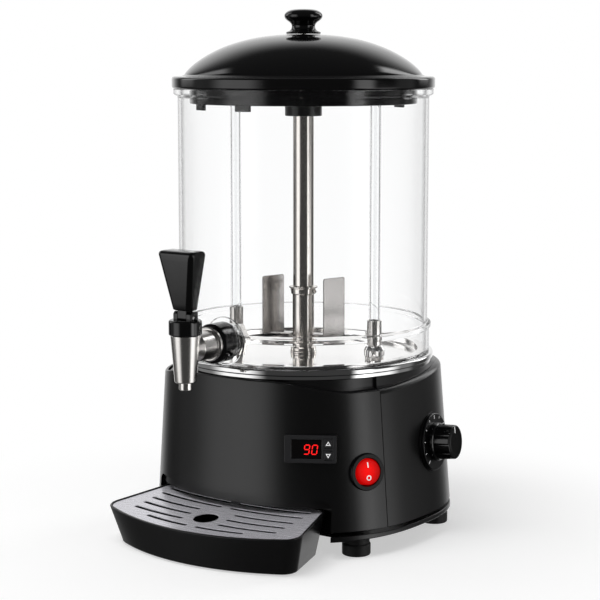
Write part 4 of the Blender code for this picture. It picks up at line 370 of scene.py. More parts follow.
def lathe(name, profile, place=None, steps=WIDE, matrix=None, round_steps=ROUND_STEPS):
    """A turned solid from (radius, height, corner) points; closed on itself if it has a bore."""
    closed = profile[0][0] > 0 and profile[-1][0] > 0
    run = rounded_run(profile, closed, round_steps)
    origin = place or Vector()

    def fill(bm):
        rows = []
        for radius, height in run:
            if radius < MERGE:
                rows.append([bm.verts.new((origin.x, origin.y, height))] * steps)
                continue
            row = []
            for i in range(steps):
                turn = math.tau * i / steps
                row.append(bm.verts.new((origin.x + radius * math.cos(turn),
                                         origin.y + radius * math.sin(turn), height)))
            rows.append(row)
        pairs = list(zip(rows, rows[1:]))
        if closed:
            pairs.append((rows[-1], rows[0]))
        for first, second in pairs:
            for i in range(steps):
                j = (i + 1) % steps
                ring = dict.fromkeys((first[i], first[j], second[j], second[i]))
                if len(ring) > 2:
                    bm.faces.new(list(ring))

    return new_object(name, fill, matrix)


def loft(name, rings, closed=False, matrix=None):
    """A skin over rings of points, capped at its ends or closed on itself."""

    def fill(bm):
        rows = [[bm.verts.new(point) for point in ring] for ring in rings]
        pairs = list(zip(rows, rows[1:]))
        if closed:
            pairs.append((rows[-1], rows[0]))
        else:
            bm.faces.new(rows[0])
            bm.faces.new(rows[-1])
        for first, second in pairs:
            count = len(first)
            for i in range(count):
                j = (i + 1) % count
                bm.faces.new((first[i], first[j], second[j], second[i]))

    return new_object(name, fill, matrix)


def sheet_piece(name, outlines, thickness, edge=0.0, matrix=None, steps=2):
    """A plate from closed outlines, holes inside them, its edges rounded; its middle plane is z = 0."""
    curve = bpy.data.curves.new(name, "CURVE")
    curve.dimensions = "2D"
    curve.fill_mode = "BOTH"
    curve.extrude = thickness / 2 - edge
    curve.bevel_depth = edge
    curve.bevel_resolution = steps
    curve.offset = -edge
    for outline in outlines:
        spline = curve.splines.new("POLY")
        spline.points.add(len(outline) - 1)
        for point, (x, y) in zip(spline.points, outline):
            point.co = (x, y, 0, 1)
        spline.use_cyclic_u = True
    flat = bpy.data.objects.new(name + "_outline", curve)
    bpy.context.scene.collection.objects.link(flat)
    bpy.context.view_layer.update()
    mesh = bpy.data.meshes.new_from_object(flat.evaluated_get(bpy.context.evaluated_depsgraph_get()))
    bpy.data.objects.remove(flat, do_unlink=True)

    def fill(bm):
        bm.from_mesh(mesh)

    return new_object(name, fill, matrix)


def slab(name, size, edge, centre=(0, 0, 0), matrix=None, segments=3):
    """A block with rounded edges."""

    def fill(bm):
        bmesh.ops.create_cube(bm, size=1, matrix=Matrix.Translation(centre) @ Matrix.Diagonal((*size, 1)))
        if edge:
            bmesh.ops.bevel(bm, geom=bm.edges[:], offset=edge, segments=segments, profile=0.5,
                            affect="EDGES", clamp_overlap=True)

    return new_object(name, fill, matrix)


def rectangle(width, height, corner, x=0, y=0, steps=6):
    """A closed rectangle with round corners."""
    half_x, half_y = width / 2, height / 2
    return [tuple(point) for point in rounded_run([
        (x - half_x, y - half_y, corner), (x + half_x, y - half_y, corner),
        (x + half_x, y + half_y, corner), (x - half_x, y + half_y, corner)], True, steps)]


def disc(radius, x=0, y=0, steps=MIDDLE):
    return [(x + radius * math.cos(math.tau * i / steps), y + radius * math.sin(math.tau * i / steps))
            for i in range(steps)]


def combine(obj, operation, *others):
    """Cut, join or intersect with other objects, which go, and keep the result as plain mesh."""
    for other in others:
        modifier = obj.modifiers.new("combine", "BOOLEAN")
        modifier.operation = operation
        modifier.solver = "EXACT"
        modifier.object = other
    bpy.context.view_layer.update()
    mesh = bpy.data.meshes.new_from_object(obj.evaluated_get(bpy.context.evaluated_depsgraph_get()))
    obj.modifiers.clear()
    obj.data = mesh
    mesh.name = obj.name
    for other in others:
        bpy.data.objects.remove(other, do_unlink=True)
    return obj


def soften(obj, width, segments=2, angle=40):
    """Round the hard edges that cutting left."""
    modifier = obj.modifiers.new("soften", "BEVEL")
    modifier.width = width
    modifier.segments = segments
    modifier.limit_method = "ANGLE"
    modifier.angle_limit = math.radians(angle)
    modifier.use_clamp_overlap = True
    modifier.miter_outer = "MITER_ARC"
    return combine(obj, "UNION")


def rotation(axis, angle):
    return Matrix.Rotation(angle, 4, axis)


def ease(value, start, end):
    share = min(max((value - start) / (end - start), 0), 1)
    return share * share * (3 - 2 * share)


# The base's surface
def plan_point(turn, z, inset=0):
    """A point on the base's outer surface, moved inwards; turn 0 is the front, positive to the right."""
    share = (DECK_TOP - z) / BASE_HEIGHT
    half_width = DECK_HALF_WIDTH + share * (FOOT_HALF_WIDTH - DECK_HALF_WIDTH)
    if math.cos(turn) > 0:
        depth = DECK_FRONT + share * (FOOT_FRONT - DECK_FRONT)
    else:
        depth = DECK_REAR + share * (FOOT_REAR - DECK_REAR)
    across = math.copysign(abs(math.sin(turn)) ** (2 / PLAN_POWER), math.sin(turn))
    along = -math.copysign(abs(math.cos(turn)) ** (2 / PLAN_POWER), math.cos(turn))
    slope = PLAN_POWER - 1
    normal = Vector((math.copysign(abs(across) ** slope, across) / half_width,
                     math.copysign(abs(along) ** slope, along) / depth)).normalized()
    return AXIS + Vector((half_width * across - normal.x * inset, depth * along - normal.y * inset, z))


def surface_frame(turn, z, yaw=0):
    """A frame on the base's surface: X to the right along it, Y up it, Z straight out of it."""
    right = (plan_point(turn + SEAM_STEP, z) - plan_point(turn - SEAM_STEP, z)).normalized()
    up = (plan_point(turn, z + WALL) - plan_point(turn, z - WALL)).normalized()
    out = right.cross(up).normalized()
    up = out.cross(right)
    place = Matrix((right, up, out)).transposed().to_4x4()
    place.translation = plan_point(turn, z)
    return place @ rotation("Y", yaw)


def edge_height(turn):
    """The top edge of the shells: level at the front, lower at the front corners, higher at the rear."""
    drop = ease(abs(turn), *EDGE_DROP_SPAN)
    rise = EDGE_RISE_SHARE * ease(abs(turn), *EDGE_RISE_SPAN)
    return DECK_TOP - EDGE_SETBACK - EDGE_DROP * drop * (1 - rise)


def plan_turns(start, end):
    count = max(2, round(PLAN * (end - start) / math.tau))
    return [start + (end - start) * i / count for i in range(count + 1)]


def plan_ring(z, inset, turns):
    return [plan_point(turn, z(turn) if callable(z) else z, inset) for turn in turns]


def section(turn, points):
    """A section of (inset, height, corner) points at a turn, with its corners rounded."""
    return [plan_point(turn, z, inset) for inset, z in rounded_run(points, True, 4)]


DISPLAY = surface_frame(math.radians(35.25), 0.105, math.radians(-4))
SWITCH = surface_frame(math.radians(61), 0.081)
DIAL = surface_frame(math.radians(99), 0.093)
GLAND = surface_frame(math.radians(158), 0.046)
PAD_DEPTH = 0.008
PAD_PROUD = 0.0003
BEZEL_WIDTH = 0.048
BEZEL_HEIGHT = 0.0258
HOUSING_WIDTH = 0.043
HOUSING_HEIGHT = 0.021
SWITCH_RADIUS = 0.0176
SWITCH_BARREL = 0.0145
DIAL_BOSS_RADIUS = 0.0288
DIAL_BOSS_DEPTH = 0.009
DIAL_PROUD = 0.0006


def drum(name, radius, foot, top, matrix=None, edge=0.0, steps=WIDE):
    return lathe(name, [(0, foot), (radius, foot), (radius, top, edge), (0, top)], None, steps, matrix)


def make_front_shell():
    """The front panel, with the arch over the tray and the pads of the display and the switch."""
    end = SEAM_TURN - SEAM_WIDTH / DECK_HALF_WIDTH
    rings = []
    for turn in plan_turns(-end, end):
        top = edge_height(turn)
        rings.append(section(turn, [
            (0, SHELL_FOOT, 0.0006), (0, top, EDGE_ROUND), (WALL, top, 0.0004), (WALL, SHELL_FOOT, 0.0004)]))
    shell = loft("panel", rings)
    half, depth = ARCH_HALF, 0.14
    outline = rounded_run([(-half, -OVERRUN), (half, -OVERRUN), (half, ARCH_TOP, ARCH_CORNER),
                           (-half, ARCH_TOP, ARCH_CORNER)], True, 16)
    arch = sheet_piece("arch", [outline], depth, 0,
                       Matrix.Translation(AXIS + Vector((0, -0.145, 0))) @ rotation("X", math.pi / 2))
    combine(shell, "DIFFERENCE", arch)
    combine(shell, "UNION",
            slab("display_pad", (BEZEL_WIDTH, BEZEL_HEIGHT, PAD_DEPTH + PAD_PROUD), 0,
                 (0, 0, (PAD_PROUD - PAD_DEPTH) / 2), DISPLAY),
            drum("switch_pad", SWITCH_RADIUS, -PAD_DEPTH, PAD_PROUD, SWITCH))
    combine(shell, "DIFFERENCE",
            slab("display_cutout", (HOUSING_WIDTH + 2 * GAP, HOUSING_HEIGHT + 2 * GAP, 0.03), 0, matrix=DISPLAY),
            drum("switch_hole", SWITCH_BARREL + GAP, -PAD_DEPTH - OVERRUN, OVERRUN, SWITCH))
    soften(shell, 0.0005)
    dress(shell, "black_moulding", "base", "base_front_shell")


def rear_section(turn):
    """One section of the rear shell: its wall, or behind the front panel a short skirt, then the deck."""
    behind_panel = abs(turn) < SEAM_TURN - SEAM_STEP / 2
    outer = WALL + GAP if behind_panel else 0
    top = min(edge_height(turn), DECK_TOP)
    foot = top - DECK_SKIRT if behind_panel else SHELL_FOOT
    points = [plan_point(turn, foot + 0.0005, outer), plan_point(turn, foot + SHOULDER, outer)]
    for i in range(9):
        angle = math.pi / 2 * i / 8
        points.append(plan_point(turn, top - SHOULDER * (1 - math.sin(angle)),
                                 outer + SHOULDER * (1 - math.cos(angle))))
    corner = points[-1] - AXIS
    reach = corner.xy.length
    ray = corner.xy / reach
    land = min(SEAT_RADIUS + DECK_LAND, reach - DECK_LAND)
    underside = DECK_TOP - WALL
    for radius, z in ((land, DECK_TOP), (DECK_HOLE, DECK_TOP), (DECK_HOLE, underside),
                      (land - DECK_LAND, underside)):
        points.append(AXIS + Vector((*(ray * radius), z)))
    points += [plan_point(turn, z, outer + inset) for inset, z in (
        (WALL, top - SHOULDER - DECK_LAND), (WALL, foot), (0.0005, foot))]
    return points


def make_rear_shell():
    """Sides, back, shoulder and deck in one moulding, with the dial's boss, the vents and the cord hole."""
    turns = plan_turns(-SEAM_TURN + SEAM_STEP, SEAM_TURN - SEAM_STEP)
    turns += plan_turns(SEAM_TURN, math.tau - SEAM_TURN)
    shell = loft("body_shell", [rear_section(turn if turn <= math.pi else turn - math.tau) for turn in turns],
                 closed=True)
    combine(shell, "UNION", drum("dial_boss", DIAL_BOSS_RADIUS, -DIAL_BOSS_DEPTH, DIAL_PROUD, DIAL))
    cutters = [
        drum("dial_hole", 0.0058, -DIAL_BOSS_DEPTH - OVERRUN, OVERRUN, DIAL),
        drum("gland_hole", 0.0071, -WALL - OVERRUN, OVERRUN, GLAND)]
    for i in range(6):
        outline = rectangle(0.060, 0.0035, 0.00172, AXIS.x, 0.070 + i * 0.0085)
        cutters.append(sheet_piece("vent", [outline], 0.04, 0,
                                   Matrix.Translation((0, AXIS.y + FOOT_REAR, 0)) @ rotation("X", math.pi / 2)))
    combine(shell, "DIFFERENCE", *cutters)
    dress(shell, "black_moulding", "base", "base_rear_shell")


def make_plinth():
    """The plinth below the seam line, which arches up between the feet at the sides, and the base's floor."""
    turns = plan_turns(-math.pi, math.pi)[:-1]

    def lower(turn):
        return BASE_FOOT + PLINTH_ARCH * math.sin(turn) ** 2 * (1 - math.cos(turn) ** 2 / 2)

    rings = []
    for turn in turns:
        foot = lower(turn)
        rings.append(section(turn, [
            (0, PLINTH_TOP, 0.0007), (0, foot, 0.0014), (0.0022, foot, 0.0003), (0.0026, foot + 0.0009)]))
    wall = loft("plinth", rings, closed=True)
    floor = loft("plinth_floor", [plan_ring(0.0192, 0.001, turns), plan_ring(0.0216, 0.001, turns)])
    combine(wall, "UNION", floor)
    half = ARCH_HALF
    arch = slab("arch", (2 * half, 0.14, 0.12), 0, AXIS + Vector((0, -0.162, 0.056)))
    combine(wall, "DIFFERENCE", arch)
    dress(wall, "black_moulding", "base", "base_pan")


def make_feet():
    for name in ("foot_front_left", "foot_front_right", "foot_rear_left", "foot_rear_right"):
        place = middle(name)
        radius = radius_of(name)
        top = high(name).z
        foot = lathe(name + "_rubber", [
            (0, top), (radius - 0.001, top, 0.0005), (radius - 0.001, top * 0.62, 0.0012),
            (radius, top * 0.55, 0.0012), (radius, 0, 0.0015), (radius - 0.004, 0, 0.0008),
            (radius - 0.005, 0.001, 0.0004), (0, 0.001)], place, MIDDLE)
        dress(foot, "rubber", "base", name)


def make_recess():
    """The box behind the arch: roof, cheeks and back wall, its front edge following the panel."""
    wall = 0.0025
    half = ARCH_HALF + wall
    back = 0.092
    roof = ARCH_TOP - 0.0082
    box = slab("tray_recess", (2 * half, FOOT_FRONT - back, ARCH_TOP - SHELL_FOOT), 0,
               AXIS + Vector((0, -(FOOT_FRONT + back) / 2, (ARCH_TOP + SHELL_FOOT) / 2)))
    turns = plan_turns(-math.pi, math.pi)[:-1]
    inside = loft("inside", [plan_ring(BASE_FOOT, WALL + GAP, turns), plan_ring(DECK_TOP, WALL + GAP, turns)])
    combine(box, "INTERSECT", inside)
    relief_inset = WALL + GAP + wall
    room = slab("room", (2 * ARCH_HALF, 0.1, roof), 0,
                AXIS + Vector((0, -back - wall - 0.05, roof / 2)))
    relief = loft("relief", [plan_ring(roof + wall, relief_inset, turns), plan_ring(DECK_TOP, relief_inset, turns)])
    slots = [slab("slot", (0.0146, 0.02, 0.0041), 0, AXIS + Vector((side * 0.055, -back, 0.03075)))
             for side in (-1, 1)]
    combine(box, "DIFFERENCE", room, relief, *slots)
    soften(box, 0.0004)
    dress(box, "black_moulding", "base", "tray_holder")


def make_seat():
    """The chrome ring between the base and the tank."""
    bore, ledge = 0.1137, 0.108
    shelf = SEAT_TOP - 0.0095
    ring = lathe("chrome_ring", [
        (bore, SEAT_TOP, 0.0006), (SEAT_RADIUS, SEAT_TOP, 0.0022), (SEAT_RADIUS, SEAT_TOP - 0.0052, 0.0008),
        (SEAT_RADIUS - 0.0016, SEAT_TOP - 0.0058, 0.0006), (SEAT_RADIUS - 0.0016, SEAT_FOOT, 0.0003),
        (0.115, SEAT_FOOT), (0.115, low("seat_ring").z, 0.0003), (ledge, low("seat_ring").z, 0.0003),
        (ledge, shelf, 0.0003), (bore, shelf)], AXIS, 256)
    dress(ring, "ring_chrome_painted_shade", "base", "seat_ring")


# Tank
TANK_FOOT = low("tank_wall").z
TANK_TOP = high("tank_wall").z
TANK_RADIUS = 0.122
TANK_INNER = 0.119
SKIRT_RADIUS = 0.124
SKIRT_INNER = 0.121
RING_RADIUS = 0.1255
RING_FOOT = TANK_FOOT + 0.0227
RING_TOP = RING_FOOT + 0.006
TAP_HEIGHT = TANK_FOOT + 0.0237
TAP_SHANK = 0.0095
FLOOR_TOP = TANK_FOOT - 0.0043
INLET = Matrix.Translation(AXIS + Vector((0, 0, TAP_HEIGHT))) @ rotation("X", math.pi / 2)


def make_tank():
    """The clear tank: rim, wall, joint ring and skirt in one moulding, with the tap's hole."""
    wall = lathe("tank", [
        (0.1262, TANK_TOP, 0.0006), (RADIUS_RIM, TANK_TOP - 0.005, 0.0012),
        (TANK_RADIUS, TANK_TOP - 0.0075, 0.002), (TANK_RADIUS, RING_TOP, 0.0015),
        (RING_RADIUS, RING_TOP - 0.0012, 0.0012), (RING_RADIUS, RING_FOOT + 0.0012, 0.0012),
        (SKIRT_RADIUS, RING_FOOT, 0.001), (SKIRT_RADIUS, TANK_FOOT, 0.0005), (0.1145, TANK_FOOT, 0.0003),
        (0.1145, TANK_FOOT + 0.0012, 0.0003), (SKIRT_INNER, TANK_FOOT + 0.0012, 0.0006),
        (SKIRT_INNER, RING_FOOT, 0.001), (TANK_INNER, RING_TOP, 0.001), (TANK_INNER, TANK_TOP, 0.0006)],
        AXIS, 192)
    combine(wall, "DIFFERENCE",
            lathe("tap_hole", [(0, 0.11), (TAP_SHANK + GAP, 0.11), (TAP_SHANK + GAP, 0.13), (0, 0.13)],
                  None, MIDDLE, INLET))
    dress(wall, "clear", "tank", "tank_wall")


RADIUS_RIM = high("tank_wall").x - AXIS.x


def make_tank_floor():
    """The dished steel floor with its flange."""
    sheet = 0.0009
    flange_foot = TANK_FOOT + 0.0015
    flange = flange_foot + sheet
    outer = 0.1137 - GAP
    bore = 0.0083
    floor = lathe("steel_floor", [
        (SKIRT_INNER - GAP, flange, 0.0003), (SKIRT_INNER - GAP, flange_foot, 0.0003),
        (outer, flange_foot, 0.0008), (outer, FLOOR_TOP - sheet, 0.003), (bore, FLOOR_TOP - sheet),
        (bore, FLOOR_TOP), (outer - sheet, FLOOR_TOP, 0.0022), (outer - sheet, flange, 0.0012)], AXIS, 256)
    holes = [lathe("hole", [(0, FLOOR_TOP - 0.004), (0.0058, FLOOR_TOP - 0.004), (0.0058, FLOOR_TOP + 0.004),
                            (0, FLOOR_TOP + 0.004)], AXIS + Vector((side * 0.083, 0, 0)), NARROW)
             for side in (-1, 1)]
    combine(floor, "DIFFERENCE", *holes)
    dress(floor, "floor_steel", "tank", "tank_floor")


def make_column():
    """Standpipe, agitator sleeve, collar, upper tube, cap and hub ring."""
    inner = 0.0065
    flange = FLOOR_TOP + GAP
    standpipe = lathe("standpipe_tube", [
        (inner, high("standpipe").z, 0.0003), (0.008, high("standpipe").z, 0.0003),
        (0.008, flange + 0.0015, 0.0005), (0.013, flange + 0.0015, 0.0005), (0.013, flange), (0.008, flange),
        (0.008, low("standpipe").z), (inner, low("standpipe").z)], AXIS, MIDDLE)
    dress(standpipe, "tube_steel", "tank", "standpipe")
    foot, top = low("agitator_sleeve").z, high("agitator_sleeve").z
    bore = 0.0088
    sleeve = lathe("sleeve", [
        (bore, top, 0.0003), (0.0107, top, 0.0004), (0.0107, foot + 0.0035, 0.0005),
        (0.0126, foot + 0.0035, 0.0007), (0.0126, foot, 0.0004), (bore, foot)], AXIS, MIDDLE)
    dress(sleeve, "tube_steel", "agitator", "agitator_sleeve")
    foot, top = low("agitator_collar").z, high("agitator_collar").z
    collar = lathe("collar", [
        (bore, top), (0.014, top, 0.0005), (0.014, top - 0.0016, 0.0005), (0.0122, top - 0.0019, 0.0004),
        (0.0122, foot, 0.0006), (bore, foot)], AXIS, MIDDLE)
    pin_z = (foot + top - 0.0016) / 2
    pin = lathe("pin", [(0, -0.0148), (0.0016, -0.0148, 0.0006), (0.0016, 0.0148, 0.0006), (0, 0.0148)],
                None, 24, Matrix.Translation(AXIS + Vector((0, 0, pin_z))) @ rotation("Y", math.pi / 2))
    combine(collar, "UNION", pin)
    combine(collar, "DIFFERENCE", drum("bore", bore, foot - OVERRUN, top + OVERRUN,
                                       Matrix.Translation(AXIS), 0, MIDDLE))
    dress(collar, "tube_steel", "agitator", "agitator_collar")
    foot, top = low("agitator_tube").z, high("agitator_tube").z
    tube = lathe("upper_tube", [
        (0.0088, top, 0.0003), (0.0102, top, 0.0003), (0.0102, foot, 0.0004), (0.0088, foot, 0.0003)],
        AXIS, MIDDLE)
    dress(tube, "tube_steel", "agitator", "agitator_tube")
    foot, top = low("agitator_hub").z, high("agitator_hub").z
    hub = lathe("hub_ring", [
        (0.011, top, 0.0003), (0.0142, top, 0.0006), (0.0142, foot, 0.0006), (0.011, foot, 0.0003)],
        AXIS, MIDDLE)
    dress(hub, "tube_steel", "agitator", "agitator_hub")


def make_paddles():
    """Bent sheet paddles: a narrow foot on the hub and an upright blade."""
    foot = low("paddle_right").z
    sheet = 0.0015
    height = high("paddle_right").z - foot
    for name, turn in (("paddle_right", math.radians(14)), ("paddle_left", math.radians(194))):
        arm = Matrix.Translation(AXIS + Vector((0, 0, foot))) @ rotation("Z", turn)
        blade_place = arm @ Matrix.Translation((0.032, 0, 0)) @ rotation("Z", math.radians(61))
        half, corner = 0.0135, 0.002
        outline = rounded_run([(-half, 0), (half, 0), (half, height, corner), (-half, height, corner)], True, 6)
        blade = sheet_piece(name + "_blade", [outline], sheet, 0.0003, blade_place @ rotation("X", math.pi / 2))
        foot_plate = slab("foot_plate", (0.032 + sheet - 0.011, 0.011, sheet), 0.0003,
                          ((0.032 + sheet + 0.011) / 2, 0, sheet / 2), arm)
        combine(blade, "UNION", foot_plate)
        combine(blade, "DIFFERENCE", drum("eye", 0.011, foot - OVERRUN, foot + OVERRUN,
                                          Matrix.Translation(AXIS), 0, MIDDLE))
        dress(blade, "sheet_steel", "agitator", name)


def make_tubes():
    """The two clear tubes in their steel sockets."""
    for word, tube in (("left", "fill_tube"), ("right", "vent_tube")):
        place = middle(tube)
        top, foot = high(tube).z, low(tube).z
        clear_tube = lathe(tube + "_clear", [
            (0.0039, top, 0.0003), (0.0053, top, 0.0003), (0.0053, foot, 0.0002), (0.0039, foot, 0.0002)],
            place, NARROW)
        dress(clear_tube, "clear_tube", "tank", tube)
        socket_node, nut_node = "tube_socket_" + word, "tube_nut_" + word
        top, foot, tail = high(socket_node).z, FLOOR_TOP + GAP, low(socket_node).z
        nut_foot, nut_top = low(nut_node).z, high(nut_node).z
        socket = lathe(socket_node + "_turned", [
            (0.0056, top, 0.0003), (0.007, top, 0.0005), (0.007, nut_top + GAP + 0.0006, 0.0004),
            (0.0055, nut_top + GAP), (0.0055, foot + 0.0038), (0.009, foot + 0.0038, 0.0006), (0.009, foot, 0.0004),
            (0.0055, foot), (0.0055, tail), (0.0039, tail), (0.0039, top - 0.013), (0.0056, top - 0.013)],
            place, NARROW)
        dress(socket, "steel", "tank", socket_node)
        nut = lathe(nut_node + "_turned", [
            (0.0058, nut_top), (0.0082, nut_top, 0.0006), (0.010, nut_top - 0.0035, 0.0006),
            (0.010, nut_foot, 0.0008), (0.0058, nut_foot)], place, NARROW)
        dress(nut, "polished", "tank", nut_node)


# Tap
HANDLE_FOOT = (0.0105, 0.0070)
HANDLE_TOP = (0.0208, 0.0117)
HANDLE_LEAN = 0.0040
HANDLE_ROUND = 0.0048


def make_tap_fixings():
    """Clear flange washer, black nut and the back nut inside the tank."""
    face = 0.1288
    rim = face - 0.0024
    flange = lathe("washer", [
        (0.0098, face, 0.0004), (0.0228, face, 0.0011), (0.0228, rim, 0.0011), (0.0165, rim, 0.001),
        (0.0165, TANK_INNER), (0.0098, TANK_INNER)], None, 96, INLET)
    room = lathe("room", [
        (0, TANK_FOOT - 0.01), (SKIRT_RADIUS + GAP, TANK_FOOT - 0.01), (SKIRT_RADIUS + GAP, RING_FOOT - GAP),
        (RING_RADIUS + GAP, RING_FOOT), (RING_RADIUS + GAP, RING_TOP), (TANK_RADIUS + GAP, RING_TOP + GAP),
        (TANK_RADIUS + GAP, TANK_TOP), (0, TANK_TOP)], AXIS, 192)
    combine(flange, "DIFFERENCE", room)
    dress(flange, "clear_tube", "tank", "tap_flange")
    nut_face, nut_end = face + GAP, 0.1499
    nut = lathe("black_nut", [
        (0.0098, nut_end), (0.0160, nut_end, 0.0008), (0.0185, nut_end - 0.0016, 0.0014),
        (0.0185, nut_face, 0.0006), (0.0098, nut_face)], None, 96, INLET)
    dress(nut, "gloss_black", "tank", "tap_nut")
    back = lathe("inner_nut", [
        (0.0098, 0.1175), (0.0145, 0.1175, 0.0005), (0.0160, 0.1160, 0.0008), (0.0160, 0.1075, 0.0010),
        (0.0098, 0.1075)], None, 6, INLET)
    dress(back, "steel", "tank", "tap_back_nut", sharp=math.radians(25))


def make_tap_body():
    """The steel tap: its tapered body, spout, inlet pipe and collar."""
    top, foot, spout = TAP_TOP, 0.170, low("tap_body").z
    body = lathe("tap_turned", [
        (0.0085, top, 0.0003), (0.0137, top, 0.0005), (0.0100, foot, 0.0012), (0.0062, foot + 0.0002, 0.0005),
        (0.0062, spout, 0.0010), (0.0048, spout, 0.0004), (0.0048, 0.1753, 0.0005), (0.0085, 0.179, 0.0005)],
        STEM, 128)
    collar = 0.1499 + GAP
    inlet = lathe("inlet", [
        (0, 0.1798), (0.0090, 0.1798), (0.0132, 0.173, 0.002), (0.0132, collar + 0.0035, 0.0008),
        (0.0158, collar + 0.0035, 0.0012), (0.0158, collar, 0.0006), (TAP_SHANK, collar), (TAP_SHANK, 0.107),
        (0, 0.107)], None, 96, INLET)
    room = lathe("room", [(0, top + OVERRUN), (0.0085, top + OVERRUN), (0.0085, 0.179), (0.0048, 0.1753),
                          (0, 0.1753)], STEM, 96)
    combine(body, "UNION", inlet)
    level = drum("level", 0.03, top, top + 0.03, Matrix.Translation(STEM))
    bore = lathe("bore", [(0, 0.1), (0.0062, 0.1), (0.0062, 0.186), (0, 0.186)], None, 48, INLET)
    combine(body, "DIFFERENCE", room, bore, level)
    dress(body, "steel", "tank", "tap_body")


TAP_TOP = high("tap_body").z - 0.0065
PIVOT_Z = middle("handle_pin").z
SIDEWAYS = rotation("Y", math.pi / 2) @ rotation("Z", math.pi / 2)


def pivot_tab(radius, foot, steps=20):
    """A tab seen from the side: square at one end and round about the pivot at the other."""
    if foot < 0:
        start = 0
        run = [(-radius, foot), (radius, foot)]
    else:
        start = math.pi
        run = [(radius, foot), (-radius, foot)]
    for i in range(steps + 1):
        angle = start + math.pi * i / steps
        run.append((radius * math.cos(angle), radius * math.sin(angle)))
    return run


def make_tap_cap():
    """The black cap with the yoke that carries the lever."""
    foot = TAP_TOP + GAP
    top = foot + 0.0137
    cap = lathe("cap", [
        (0.0028, top), (0.0151, top, 0.0020), (0.0151, foot, 0.0009), (0.0082, foot), (0.0082, foot - 0.008),
        (0.0028, foot - 0.008)], STEM, 96)
    pivot = Matrix.Translation(STEM + Vector((0, 0, PIVOT_Z)))
    sole = top - PIVOT_Z - 0.0015
    outline = rounded_run([(-0.0050, sole), (0.0062, sole), (0.0062, 0.0056, 0.0012), (-0.0030, 0.0056, 0.0010),
                           (-0.0050, 0.0034, 0.0010)], True)
    yoke = sheet_piece("yoke", [outline], 0.0205, 0.0010, pivot @ SIDEWAYS)
    combine(cap, "UNION", yoke)
    slot = slab("slot", (0.0106, 0.0124, 0.012 + 0.0065), 0, STEM + Vector((0, 0, PIVOT_Z + (0.012 - 0.0065) / 2)))
    bore = drum("bore", 0.0023, -0.019, 0.019, pivot @ SIDEWAYS, 0, 32)
    combine(cap, "DIFFERENCE", slot, bore)
    dress(cap, "gloss_black", "tank", "tap_cap")


def handle_ring(z, sole, top, pull, corner):
    """One level of the handle: wider, deeper and a little further forward towards its top."""
    share = (z - sole) / (top - sole)
    half_x = HANDLE_FOOT[0] + (HANDLE_TOP[0] - HANDLE_FOOT[0]) * share - pull
    half_y = HANDLE_FOOT[1] + (HANDLE_TOP[1] - HANDLE_FOOT[1]) * share - pull
    forward = HANDLE_LEAN * share
    return [STEM + Vector((x, y - forward, z)) for x, y in rectangle(
        2 * half_x, 2 * half_y, corner, steps=6)]


def make_handle():
    """The lever's handle: a tapered block with rounded edges and a slightly crowned top."""
    sole = PIVOT_Z + 0.0066
    top = high("tap_handle").z + 0.0049
    radius = 0.0040
    rings = []
    edge = 0.0014
    for k in range(5):
        angle = math.pi / 2 * k / 4
        pull = edge * (1 - math.sin(angle))
        rings.append(handle_ring(sole + edge * (1 - math.cos(angle)), sole, top, pull, HANDLE_ROUND - 0.8 * pull))
    for k in range(1, 10):
        rings.append(handle_ring(sole + edge + (top - sole - radius - edge) * k / 10, sole, top, 0, HANDLE_ROUND))
    for k in range(7):
        angle = math.pi / 2 * k / 6
        pull = radius * (1 - math.cos(angle))
        rings.append(handle_ring(top - radius * (1 - math.sin(angle)), sole, top, pull, HANDLE_ROUND - 0.8 * pull))
    for pull, rise in ((0.005, 0.0003), (0.008, 0.0005)):
        rings.append(handle_ring(top + rise, sole, top, pull, 0.001))
    handle = loft("lever_handle", rings)
    pivot = Matrix.Translation(STEM + Vector((0, 0, PIVOT_Z)))
    tongue = sheet_piece("tongue", [pivot_tab(0.0049, sole - PIVOT_Z + 0.003)], 0.010, 0.0004, pivot @ SIDEWAYS)
    combine(handle, "UNION", tongue)
    combine(handle, "DIFFERENCE", drum("bore", 0.0023, -0.02, 0.02, pivot @ SIDEWAYS, 0, 32))
    dress(handle, "gloss_black", "lever", "tap_handle")
    pin = lathe("lever_pin", [(0, -0.0095), (0.002, -0.0095, 0.0005), (0.002, 0.0095, 0.0005), (0, 0.0095)],
                None, 32, pivot @ SIDEWAYS)
    dress(pin, "polished", "lever", "handle_pin")


# Lid
DOME_SQUARE = 1.25


